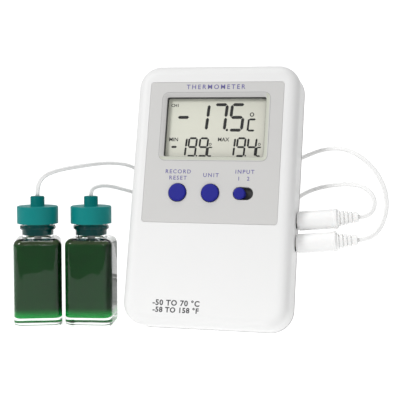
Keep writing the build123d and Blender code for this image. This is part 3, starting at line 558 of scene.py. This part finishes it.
def bezel_grey(colour, display):
    """The window's bevel: front plate grey, with a painted reflection of the display's tone on its lower and right
    slopes.
    """
    paint = Paint("bezel_grey", {"IOR": 1.49})
    place = paint.place()
    _, x, _, z = paint.axes(place, middle=on_face(0, WINDOW_MID_MM, 0), turn=(LEAN, 0, 0))

    def slope(distance, edge):
        """1 on the bevel inside one edge of the window, 0 elsewhere."""
        inner = edge - BEVEL_MM * MM
        inside = distance.between(inner - 0.0001, inner)
        return inside * (1 - distance.between(edge + 0.0001, edge + 0.0003))

    right = slope(x, WINDOW_MM[0] / 2 * MM)
    below = slope(z * -1, WINDOW_MM[1] / 2 * MM)
    # painted reflection: the display's light, painted on the bevel's lower and right slopes
    painted_reflection = (right + below).between(0.1, 0.9)
    grain = paint.noise(place, 0.3, 3.0)
    plain = paint.mix(grain, shade(colour, 0.97), colour)
    paint.set(base_color=paint.mix(painted_reflection * 0.85, plain, shade(display, 0.76)))
    paint.set(roughness=grain * 0.1 + 0.45)
    paint.bump(grain, 0.008)
    return paint.material


def circuit_board_finish():
    """Green solder mask over straight tracks."""
    paint = Paint("board_green", {"IOR": 1.5, "Coat Weight": 0.3})
    place = paint.place()
    turned, x, _, z = paint.axes(place, turn=(LEAN, 0, 0))
    tracks = paint.add("ShaderNodeTexBrick", {"offset": 0.5}, {
        "Vector": turned, "Color1": (0.02, 0.16, 0.07), "Color2": (0.02, 0.13, 0.06),
        "Mortar": (0.07, 0.3, 0.13), "Scale": 260.0, "Mortar Size": 0.03, "Mortar Smooth": 0.2,
    })
    weave = (x * 9000.0).wave() * (z * 9000.0).wave()
    paint.set(base_color=tracks)
    paint.set(roughness=weave * 0.05 + 0.35)
    paint.bump(weave, 0.01)
    return paint.material


def battery_wrap():
    """A plain shrink sleeve: dark body and a copper-coloured band at its positive end."""
    paint = Paint("battery_wrap", {"Coat Weight": 0.4, "IOR": 1.5})
    place = paint.place()
    _, x, _, _ = paint.axes(place, middle=on_face(0, 84, 9))
    band = x.between(0.0085, 0.0088)
    scuff = paint.noise(place, 1.2, 4.0, 0.7)
    dark = paint.mix(scuff, (0.012, 0.013, 0.016), (0.03, 0.03, 0.035))
    paint.set(base_color=paint.mix(band, dark, (0.55, 0.27, 0.09)))
    paint.set(metallic=band * 0.8, roughness=scuff * 0.2 + 0.22)
    paint.bump(scuff, 0.004)
    return paint.material


def striped_rubber():
    """The display's contact strip: thin dark layers in pale rubber."""
    paint = Paint("strip_rubber", {})
    place = paint.place()
    _, x, _, _ = paint.axes(place)
    layers = (x * 12000.0).wave().between(-0.2, 0.2)
    paint.set(base_color=paint.mix(layers, (0.03, 0.03, 0.03), (0.62, 0.45, 0.45)))
    paint.set(roughness=paint.noise(place, 0.8) * 0.2 + 0.6)
    paint.bump(layers, 0.01)
    return paint.material


def stage_paint(colour):
    """Stage paint: pale, even and slightly self-lit."""
    paint = Paint("stage_white", {"Emission Strength": 1.0, "Specular IOR Level": 0.0})
    place = paint.place()
    cloud = paint.noise(place, 400.0)
    paint.set(base_color=paint.mix(cloud, shade(colour, 0.345), shade(colour, 0.35)))
    paint.set(roughness=cloud * 0.05 + 0.85)
    paint.set(emission_color=paint.mix(cloud, shade(colour, 0.995), colour))
    return paint.material


# finish: colour, or the name of one that a user sets; grain size and depth (mm); lowest and highest roughness;
# mottle; and the shader's constants, where they differ
MOULDED = {
    "case_white": ("case", 0.45, 0.02, 0.42, 0.56, 0.012),
    "fascia_grey": ("fascia", 0.3, 0.012, 0.45, 0.55, 0.02),
    "lcd_ink": ("digits", 0.2, 0.002, 0.4, 0.55, 0.1, {"Specular IOR Level": 0.08}),
    "black_plastic": ((0.018, 0.018, 0.02), 0.3, 0.012, 0.35, 0.5, 0.15),
    # gasket_grey darkens the window's rings as painted shade, and the case seam as its dark joint
    "gasket_grey": ((0.075, 0.078, 0.078), 0.3, 0.01, 0.5, 0.65, 0.1),
    # painted shade, for the groove round the window
    "line_grey": ((0.30, 0.30, 0.30), 0.3, 0.005, 0.45, 0.6, 0.05),
    "frame_white": ((0.75, 0.75, 0.74), 0.4, 0.015, 0.45, 0.6, 0.02),
    "button_blue": ("buttons", 0.3, 0.02, 0.38, 0.5, 0.08, {"Specular IOR Level": 0.2}),
    "plug_white": ("plugs", 0.5, 0.012, 0.32, 0.44, 0.012,
                   {"Subsurface Weight": 0.06, "Subsurface Radius": (0.0012, 0.001, 0.0009)}),
    "liner_foam": ((0.8, 0.8, 0.78), 0.4, 0.05, 0.7, 0.85, 0.04),
    "cap_teal": ("caps", 0.4, 0.02, 0.4, 0.54, 0.03, {"Specular IOR Level": 0.2}),
    "gland_teal": ("glands", 0.4, 0.02, 0.42, 0.56, 0.05, {"Specular IOR Level": 0.05}),
    "lead_white": ("leads", 0.8, 0.01, 0.38, 0.5, 0.015),
    "print_blue": ("printing", 0.25, 0.002, 0.45, 0.6, 0.06),
    "print_grey": ((0.065, 0.065, 0.07), 0.25, 0.002, 0.45, 0.6, 0.1),
    "tie_black": ((0.02, 0.02, 0.022), 0.5, 0.02, 0.4, 0.55, 0.15),
}
# finish: colour, lowest and highest roughness, the axis of its brush lines
METALS = {
    "reflector": ((0.75, 0.76, 0.74), 0.3, 0.5, 0),
    "steel": ((0.5, 0.5, 0.52), 0.25, 0.45, 2),
    "nickel": ((0.72, 0.69, 0.62), 0.12, 0.25, 0),
    "stem_steel": ((0.55, 0.56, 0.57), 0.22, 0.4, 2),
}
# finish: the function that makes it, and the names of the colours that it takes
OTHERS = {
    "bezel_grey": (bezel_grey, "fascia", "display"),
    "lens_clear": (clear_window,),
    "lcd_glass": (display_glass, "display"),
    "strip_rubber": (striped_rubber,),
    "board_green": (circuit_board_finish,),
    "battery_wrap": (battery_wrap,),
    "bottle_glass": (bottle_glass, "glass"),
    "glycol_green": (glycol, "liquid", "liquid_glow"),
    "stage_white": (stage_paint, "stage"),
}
FINISHES = {}


def tone(colour):
    """A colour's numbers, from themselves or from the name of one that a user sets."""
    return tuple(getattr(bpy.context.scene.thermometer_colours, colour)) if isinstance(colour, str) else colour


def finish(slot):
    """The material of one finish, made when it is first asked for."""
    if slot not in FINISHES:
        if slot in MOULDED:
            colour, *numbers = MOULDED[slot]
            FINISHES[slot] = moulded(slot, tone(colour), *numbers)
        elif slot in METALS:
            FINISHES[slot] = metal(slot, *METALS[slot])
        else:
            make, *colours = OTHERS[slot]
            FINISHES[slot] = make(*map(tone, colours))
    return FINISHES[slot]


# sizes and colours a user would change
def length_property(label, note, value, low, high):
    return FloatProperty(name=label, description=note, unit="LENGTH", default=value, min=low, max=high)


def colour_property(label, note, value):
    return FloatVectorProperty(
        name=label, description=note, subtype="COLOR", size=3, min=0.0, max=1.0, default=value,
    )


class ThermometerSizes(bpy.types.PropertyGroup):
    lead_width: length_property("Lead width", "Width of the flat twin-wire lead", 0.0018, 0.001, 0.004)
    lead_thickness: length_property(
        "Lead thickness", "Thickness of the lead over one wire", 0.00095, 0.0005, 0.002,
    )
    ink_height: length_property(
        "Ink height", "How far printing stands above its surface", 0.00002, 0.000005, 0.0002,
    )
    seam_width: length_property(
        "Seam width", "Width of the dark line where the case halves meet", 0.00022, 0.00005, 0.001,
    )
    spring_turns: IntProperty(
        name="Spring turns", description="Turns of the battery spring", default=4, min=2, max=8,
    )
    spring_wire: length_property("Spring wire", "Wire diameter of the battery spring", 0.00055, 0.0003, 0.001)


class ThermometerColours(bpy.types.PropertyGroup):
    case: colour_property("Case", "Case plastic", (0.76, 0.76, 0.757))
    fascia: colour_property("Fascia", "Printed front plate", (0.56, 0.555, 0.545))
    display: colour_property("Display", "Display background", (0.66, 0.68, 0.57))
    digits: colour_property("Digits", "Display segments that are on", (0.005, 0.0055, 0.005))
    printing: colour_property("Printing", "Lettering on the front plate", (0.105, 0.09, 0.30))
    buttons: colour_property("Buttons", "Buttons and selector knob", (0.012, 0.014, 0.24))
    plugs: colour_property("Plugs", "Plug mouldings", (0.86, 0.86, 0.855))
    leads: colour_property("Leads", "Lead insulation", (0.84, 0.84, 0.835))
    caps: colour_property("Caps", "Bottle caps", (0.0, 0.20, 0.195))
    glands: colour_property("Glands", "Probe glands on the caps", (0.0, 0.14, 0.1365))
    glass: colour_property("Glass", "Bottle glass", (0.97, 0.99, 0.98))
    liquid: colour_property("Glycol", "Liquid in the bottles", (0.010, 0.070, 0.016))
    liquid_glow: colour_property("Glycol foot", "Liquid where light comes up through the base", (0.01, 0.42, 0.07))
    stage: colour_property("Stage", "Floor and backdrop", (0.94, 0.94, 0.94))


# pieces
class THERMOMETER_OT_stage(bpy.types.Operator):
    """Adds the floor, backdrop, lights and camera"""

    bl_idname = "thermometer.stage"
    bl_label = "Stage"

    def execute(self, context):
        scene = context.scene
        lens = bpy.data.cameras.new("view")
        lens.lens = 96.155
        lens.sensor_width = 36.0
        lens.clip_start = 0.02
        camera = bpy.data.objects.new("view", lens)
        camera.location = (0.13170, -0.43956, 0.09006)
        camera.rotation_euler = (math.radians(85.443), 0.0, math.radians(14.325))
        scene.collection.objects.link(camera)
        scene.camera = camera
        scene.view_settings.view_transform = "Standard"

        # floor that curves up into a backdrop: in section, back from the front edge and up
        front, back, under, curve, top = -0.17, 1.1, -0.0001, 0.25, 0.6
        outline = [(front, under), (back, under)]
        outline += [(back + curve * math.sin(a), under + curve - curve * math.cos(a))
                    for a in (math.radians(7.5 * i) for i in range(1, 13))]
        outline.append((back + curve, top))
        solid = bmesh.new()
        left, right = [[solid.verts.new((x, y, z)) for y, z in outline] for x in (-1.4, 0.9)]
        for i in range(len(outline) - 1):
            solid.faces.new((left[i], right[i], right[i + 1], left[i + 1]))
        mesh = mesh_of(solid, "floor")
        if mesh.polygons[0].normal.z < 0:
            mesh.flip_normals()
        floor = bpy.data.objects.new("floor", mesh)
        scene.collection.objects.link(floor)
        mesh.materials.append(finish("stage_white"))

        world = bpy.data.worlds.new("studio")
        world.use_nodes = True
        sky = world.node_tree.nodes["Background"].inputs
        sky["Color"].default_value = (1.0, 1.0, 1.0, 1.0)
        sky["Strength"].default_value = 0.4
        scene.world = world
        for name, place, aim, power in (
            ("key", (-0.75, -0.9, 0.95), (0.0, 0.0, 0.05), 11.0),
            ("fill", (0.6, -1.2, 0.6), (0.0, 0.0, 0.05), 2.5),
            ("top", (0.0, -0.1, 1.3), (0.0, 0.0, 0.0), 3.0),
        ):
            light = bpy.data.lights.new(name, "AREA")
            light.shape = "DISK"
            light.size = 0.5
            light.energy = power
            lamp = bpy.data.objects.new(name, light)
            lamp.location = place
            lamp.rotation_euler = (Vector(aim) - Vector(place)).to_track_quat("-Z", "Y").to_euler()
            scene.collection.objects.link(lamp)
        return {"FINISHED"}


def coil_turns(middle):
    """Control points of a wound coil: in at the right of its outer column, out over the top to its left."""
    points = []

    def lay(radius, height):
        angle = math.tau * len(points) / TURN_POINTS
        if height <= COIL_TOP_MM:
            # the tie, at the far side, squeezes the turns together
            from_tie = math.degrees(math.acos(max(-1.0, min(1.0, math.sin(angle)))))
            squeeze = 1 - TIE_SQUEEZE * math.exp(-((from_tie / TIE_SPREAD_DEG) ** 2))
            height = TIE_HEIGHT_MM + (height - TIE_HEIGHT_MM) * squeeze
        spread = radius * TURN_SPREAD
        points.append((middle[0] + spread * math.cos(angle), middle[1] + spread * math.sin(angle), height))

    low = COIL_STEP_MM / 2
    span = COIL_TOP_MM - low
    for column in range(COIL_COLUMNS):
        downwards = column % 2 == 0
        radius = COIL_OUTER_MM - COIL_STEP_MM * column
        for i in range(COLUMN_TURNS * TURN_POINTS):
            share = i / (COLUMN_TURNS * TURN_POINTS)
            lay(radius, COIL_TOP_MM - span * share if downwards else low + span * share)
        if column < COIL_COLUMNS - 1:
            # half a turn in to the next column
            for i in range(TURN_POINTS // 2):
                lay(radius - COIL_STEP_MM * i * 2 / TURN_POINTS, low if downwards else COIL_TOP_MM)
    radius, growth, rise = LAST_TURN_MM
    for i in range(TURN_POINTS):
        lay(radius + growth * i / TURN_POINTS, COIL_TOP_MM + rise * min(1.0, i / 3))
    return points[1:]


def route_line(points, name):
    """The points of a smooth curve through a route of control points."""
    curve = bpy.data.curves.new(name, "CURVE")
    curve.dimensions = "3D"
    curve.resolution_u = 8
    spline = curve.splines.new("NURBS")
    spline.points.add(len(points) - 1)
    for control, point in zip(spline.points, points):
        control.co = (*from_datum(point), 1.0)
    spline.order_u = 3
    spline.use_endpoint_u = True
    mesh = evaluated_mesh(bpy.data.objects.new(name, curve))
    line = [v.co.copy() for v in mesh.vertices]
    bpy.data.meshes.remove(mesh)
    return line


def twin_wire(line, width, thickness, name):
    """A flat twin lead along a line: two round wires with a web between them."""
    lobe = thickness / 2
    section = []
    for sign, turn in ((1, 0), (-1, 180)):
        for angle in (-110, -55, 0, 55, 110):
            a = math.radians(angle + turn)
            section.append((sign * (width / 2 - lobe) + lobe * math.cos(a), lobe * math.sin(a)))
        section.append((0.0, sign * lobe * WEB_SHARE))
    solid = bmesh.new()
    rings = []
    side = Vector((0, 0, 1))
    travelled = 0.0
    for i, point in enumerate(line):
        before, after = line[max(i - 1, 0)], line[min(i + 1, len(line) - 1)]
        along = (after - before).normalized()
        side = (side - along * side.dot(along)).normalized()
        facing = along.cross(Vector((0.0, 1.0, 0.0)))
        if facing.length > RIBBON_LEAST:
            # the ribbon turns slowly until it lies flat to the front
            facing = facing.normalized() * (1 if facing.dot(side) >= 0 else -1)
            side = (side * (1 - RIBBON_TURN) + facing * RIBBON_TURN).normalized()
        flat = along.cross(side)
        twist = RIBBON_TWIST * math.sin(travelled / TWIST_LENGTH)
        wide = side * math.cos(twist) + flat * math.sin(twist)
        thin = along.cross(wide)
        rings.append([solid.verts.new(point + wide * a + thin * b) for a, b in section])
        travelled += (after - point).length
    join_loops(solid, rings, closed=False)
    mesh = mesh_of(solid, name, smooth=False)
    mesh.shade_smooth()
    return mesh


class THERMOMETER_OT_leads(bpy.types.Operator):
    """Adds the two probe leads, each one run from its plug through its coil to its bottle"""

    bl_idname = "thermometer.leads"
    bl_label = "Leads"

    def execute(self, context):
        sizes = context.scene.thermometer_sizes
        for number, (plug_route, bottle_route, middle) in enumerate(
            zip(PLUG_ROUTES, BOTTLE_ROUTES, COIL_MIDDLES), 1
        ):
            name = f"lead_{number}_wire"
            line = route_line([*plug_route, *coil_turns(middle), *bottle_route[::-1]], name)
            mesh = twin_wire(line, sizes.lead_width, sizes.lead_thickness, name)
            piece = add_piece(name, mesh, "lead_white", body=None)
            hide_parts(f"lead_{number}_plug_side", f"lead_{number}_bottle_side", f"coil_{number}")
            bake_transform(piece)
        return {"FINISHED"}


class THERMOMETER_OT_ties(bpy.types.Operator):
    """Adds the wire tie round each coil"""

    bl_idname = "thermometer.ties"
    bl_label = "Coil ties"

    def execute(self, context):
        depth, height, corner = TIE_BAND_MM
        back, up = TIE_ENDS_MM
        for number, (x, y) in enumerate(COIL_MIDDLES, 1):
            solid = bmesh.new()
            loops = []
            for across, out in TIE_STRIP:
                outline = rounded_outline(depth + 2 * out, height + 2 * out, corner + out, 5)
                loops.append([
                    solid.verts.new(from_datum((x + across, y + TIE_PLACE_MM + a, TIE_HEIGHT_MM + b)))
                    for a, b in outline
                ])
            join_loops(solid, loops, closed=True)
            # its two ends, twisted together in two turns
            for strand in (0.0, math.pi):
                rings = []
                for i in range(TIE_STEPS + 1):
                    turn = strand + i / TIE_STEPS * 4 * math.pi
                    middle = (x + TIE_LAY_MM * math.cos(turn), up + TIE_LAY_MM * math.sin(turn))
                    rings.append([
                        solid.verts.new(from_datum((a, y + back + TIE_STEP_MM * i, b)))
                        for a, b in circle_outline(*middle, TIE_END_MM, 6)
                    ])
                join_loops(solid, rings, closed=False)
            name = f"coil_wrap_{number}"
            piece = add_piece(name, mesh_of(solid, name), "tie_black")
            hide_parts(f"coil_tie_{number}")
        return {"FINISHED"}


def segment_outline(letter, right, top, bottom, width, stroke):
    """Outline of one display segment, before its slant. The segment l is a C's whole upright."""
    left, half, gap = right - width, stroke / 2, stroke * 0.09
    middle = (top + bottom) / 2

    def bar(height):
        a, b = left + gap, right - gap
        return [(a, height), (a + half, height - half), (b - half, height - half), (b, height),
                (b - half, height + half), (a + half, height + half)]

    def post(x, low, high):
        low, high = low + gap, high - gap
        return [(x, low), (x + half, low + half), (x + half, high - half), (x, high),
                (x - half, high - half), (x - half, low + half)]

    return {
        "a": lambda: bar(top), "g": lambda: bar(middle), "d": lambda: bar(bottom),
        "b": lambda: post(right, middle, top), "c": lambda: post(right, bottom, middle),
        "f": lambda: post(left, middle, top), "e": lambda: post(left, bottom, middle),
        "l": lambda: [(left - half, bottom), (left + half, bottom), (left + half, top), (left - half, top)],
    }[letter]()


class THERMOMETER_OT_display(bpy.types.Operator):
    """Adds the display's segments and words, and round it the bezel and three dark rings, the gasket, line and
    mask, which are painted shade
    """

    bl_idname = "thermometer.display"
    bl_label = "Display"

    def execute(self, context):
        ink = context.scene.thermometer_sizes.ink_height / MM
        solid = bmesh.new()
        for row in (BIG_READING, LOW_READING, HIGH_READING):
            row_top = row[0][2]
            for sign, *sizes in row:
                for letter in SEGMENTS[sign]:
                    outline = segment_outline(letter, *sizes)
                    slanted = [(x + (y - row_top) * DIGIT_SLANT, y) for x, y in outline]
                    raised(solid, slanted, LCD_FRONT_MM, ink)
        for x, y, radius in POINTS:
            raised(solid, circle_outline(x, y, radius, 8), LCD_FRONT_MM, ink)
        for x, y, radius in DEGREES:
            # a ring, as twelve short bars
            outer, inner = circle_outline(x, y, radius, 12), circle_outline(x, y, radius * DEGREE_BORE, 12)
            for k in range(12):
                m = (k + 1) % 12
                raised(solid, [outer[k], outer[m], inner[m], inner[k]], LCD_FRONT_MM, ink)
        text_mesh(solid, DISPLAY_WORDS, LCD_FRONT_MM - ink / 2, ink / 2, 0.04)
        add_piece("display_segments", mesh_of(solid, "display_segments", smooth=False), "lcd_ink")
        for name, section, look, slot in WINDOW_FRAMES:
            add_piece(name, window_ring(name, section), look)
        return {"FINISHED"}


class THERMOMETER_OT_printing(bpy.types.Operator):
    """Adds the generic lettering on the front plate and the range marked low on the case"""

    bl_idname = "thermometer.printing"
    bl_label = "Printing"

    def execute(self, context):
        ink = context.scene.thermometer_sizes.ink_height / MM
        for name, words, look, slot, weight in (
            ("fascia_print", FASCIA_WORDS, "print_blue", "fascia_grey", 0.03),
            ("range_print", RANGE_WORDS, "print_grey", "case_white", 0.1),
        ):
            solid = bmesh.new()
            text_mesh(solid, words, 0.0, ink, weight)
            add_piece(name, mesh_of(solid, name, smooth=False), look)
        return {"FINISHED"}


class THERMOMETER_OT_case_details(bpy.types.Operator):
    """Adds the seam round the case"""

    bl_idname = "thermometer.case_details"
    bl_label = "Case details"

    def execute(self, context):
        width, height, corner = CASE_MM
        seam = context.scene.thermometer_sizes.seam_width
        growth = Growth("case_seam")
        edge = growth.add("GeometryNodeCurvePrimitiveQuadrilateral", None, {
            "Width": growth.size("Width", width * MM), "Height": growth.size("Height", height * MM),
        })
        rounded = growth.add("GeometryNodeFilletCurve", {"mode": "POLY"}, {
            "Curve": edge, "Radius": growth.size("Corner", corner * MM), "Count": 14,
        })
        line = growth.tube(rounded, 6, growth.size("Line radius", seam / 2))
        mesh = growth.mesh(line, finish("gasket_grey"))
        mesh.transform(face_matrix(0, height / 2, SEAM_DEPTH_MM))
        mesh = mesh_of(taken(mesh), "case_seam", smooth=False)
        mesh.shade_smooth()
        add_piece("case_seam", mesh, "gasket_grey")
        return {"FINISHED"}


def fitted_copy(node, middle, share, heights, move=(0.0, 0.0)):
    """A merged copy of a CAD node, widened about an upright axis between two heights (mm)."""
    low, high = heights
    solid = bmesh.new()
    solid.from_mesh(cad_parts[node].data)
    bmesh.ops.remove_doubles(solid, verts=solid.verts, dist=0.000001)
    for corner in solid.verts:
        if low * MM <= corner.co.z <= high * MM:
            corner.co.x = middle.x + (corner.co.x - middle.x) * share + move[0] * MM
            corner.co.y = middle.y + (corner.co.y - middle.y) * share + move[1] * MM
    return mesh_of(solid, node)


class THERMOMETER_OT_fillings(bpy.types.Operator):
    """Adds the glycol against its glass, and the gland that fills the neck"""

    bl_idname = "thermometer.fillings"
    bl_label = "Bottle fillings"

    def execute(self, context):
        for n, (share, move) in enumerate(GLYCOL_FIT, 1):
            low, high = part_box(f"cap_{n}")
            middle = (low + high) / 2
            liquid = fitted_copy(f"glycol_{n}", middle, share, GLYCOL_HEIGHTS_MM, move)
            piece = add_piece(f"glycol_fill_{n}", liquid, "glycol_green")
            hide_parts(f"glycol_{n}")
            gland = fitted_copy(f"probe_gland_{n}", middle, GLAND_WIDER, GLAND_HEIGHTS_MM)
            piece = add_piece(f"gland_{n}", gland, "gland_teal", body=f"probe_{n}")
            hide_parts(f"probe_gland_{n}")
        return {"FINISHED"}


class THERMOMETER_OT_battery_spring(bpy.types.Operator):
    """Adds the wound battery spring on its plate"""

    bl_idname = "thermometer.battery_spring"
    bl_label = "Battery spring"

    def execute(self, context):
        sizes = context.scene.thermometer_sizes
        plate, side = 0.0004, 0.007
        low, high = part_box("battery_spring")
        middle = (low + high) / 2
        growth = Growth("battery_coil")
        spiral = growth.add("GeometryNodeCurveSpiral", None, {
            "Resolution": 24, "Rotations": growth.size("Turns", float(sizes.spring_turns)),
            "Start Radius": growth.size("Foot radius", 0.0029), "End Radius": growth.size("Head radius", 0.0021),
            "Height": growth.size("Height", high.x - low.x - plate - sizes.spring_wire),
        })
        wire = growth.tube(spiral, 8, growth.size("Wire radius", sizes.spring_wire / 2))
        mesh = growth.mesh(wire, finish("nickel"))
        seat = Vector((low.x + plate + sizes.spring_wire / 2, middle.y, middle.z))
        mesh.transform(Matrix.Translation(seat) @ Matrix.Rotation(math.radians(90), 4, "Y"))
        solid = taken(mesh)
        square = Matrix.Rotation(-LEAN, 4, "X") @ Matrix.Diagonal((plate, side, side, 1.0))
        square = Matrix.Translation((low.x + plate / 2, middle.y, middle.z)) @ square
        bmesh.ops.create_cube(solid, size=1.0, matrix=square)
        piece = add_piece("battery_coil", mesh_of(solid, "battery_coil"), "nickel")
        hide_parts("battery_spring")
        return {"FINISHED"}


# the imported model's nodes by finish; {n} stands for 1 and for 2
FINISH_NODES = {
    "case_white": "front_case rear_case battery_door stand",
    "fascia_grey": "fascia",
    "lens_clear": "display_lens",
    "lcd_glass": "lcd_glass",
    "reflector": "lcd_reflector",
    "frame_white": "lcd_frame",
    "strip_rubber": "contact_strip",
    "button_blue": "memory_button mode_button selector_knob",
    "board_green": "circuit_board",
    "black_plastic": "selector_lever button_switches board_components controller_chip battery_tray "
                     "jack_socket_{n} plug_insulator_{n}",
    "steel": "selector_switch board_screws case_screws",
    "battery_wrap": "battery",
    "nickel": "battery_spring battery_contact plug_sleeve_{n} plug_tip_{n}",
    "plug_white": "plug_grip_{n} plug_boot_{n}",
    "bottle_glass": "bottle_{n}",
    "glycol_green": "glycol_{n}",
    "liner_foam": "cap_liner_{n}",
    "cap_teal": "cap_{n}",
    "gland_teal": "probe_gland_{n}",
    "stem_steel": "probe_stem_{n}",
    "lead_white": "lead_{n}_plug_side lead_{n}_bottle_side coil_{n}",
    "tie_black": "coil_tie_{n}",
}
NODE_FINISH = {
    node.format(n=n): slot for slot, nodes in FINISH_NODES.items() for node in nodes.split() for n in (1, 2)
}


class THERMOMETER_OT_finishes(bpy.types.Operator):
    """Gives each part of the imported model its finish"""

    bl_idname = "thermometer.finishes"
    bl_label = "Finishes"

    def execute(self, context):
        bare = sorted(set(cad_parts) - set(NODE_FINISH))
        if bare:
            raise RuntimeError(f"no finish for {bare}")
        for name, slot in NODE_FINISH.items():
            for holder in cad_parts[name].material_slots:
                holder.material = finish(slot)
        return {"FINISHED"}


class THERMOMETER_PT_panel(bpy.types.Panel):
    bl_idname = "THERMOMETER_PT_panel"
    bl_label = "Thermometer"
    bl_space_type = "VIEW_3D"
    bl_region_type = "UI"
    bl_category = "Thermometer"

    def draw(self, context):
        for group in (context.scene.thermometer_sizes, context.scene.thermometer_colours):
            for key in group.__annotations__:
                self.layout.prop(group, key)
        for operator in OPERATORS:
            self.layout.operator(operator.bl_idname)


OPERATORS = (
    THERMOMETER_OT_stage, THERMOMETER_OT_ties, THERMOMETER_OT_leads, THERMOMETER_OT_display,
    THERMOMETER_OT_printing, THERMOMETER_OT_case_details, THERMOMETER_OT_fillings,
    THERMOMETER_OT_battery_spring, THERMOMETER_OT_finishes,
)
CLASSES = (ThermometerSizes, ThermometerColours, *OPERATORS, THERMOMETER_PT_panel)


def register():
    for kind in CLASSES:
        bpy.utils.register_class(kind)
    bpy.types.Scene.thermometer_sizes = PointerProperty(type=ThermometerSizes)
    bpy.types.Scene.thermometer_colours = PointerProperty(type=ThermometerColours)


def unregister():
    del bpy.types.Scene.thermometer_colours
    del bpy.types.Scene.thermometer_sizes
    for kind in reversed(CLASSES):
        bpy.utils.unregister_class(kind)


def main():
    register()
    bpy.ops.thermometer.stage()
    bpy.ops.thermometer.ties()
    bpy.ops.thermometer.leads()
    bpy.ops.thermometer.display()
    bpy.ops.thermometer.printing()
    bpy.ops.thermometer.case_details()
    bpy.ops.thermometer.fillings()
    bpy.ops.thermometer.battery_spring()
    bpy.ops.thermometer.finishes()


if __name__ == "__main__":
    main()
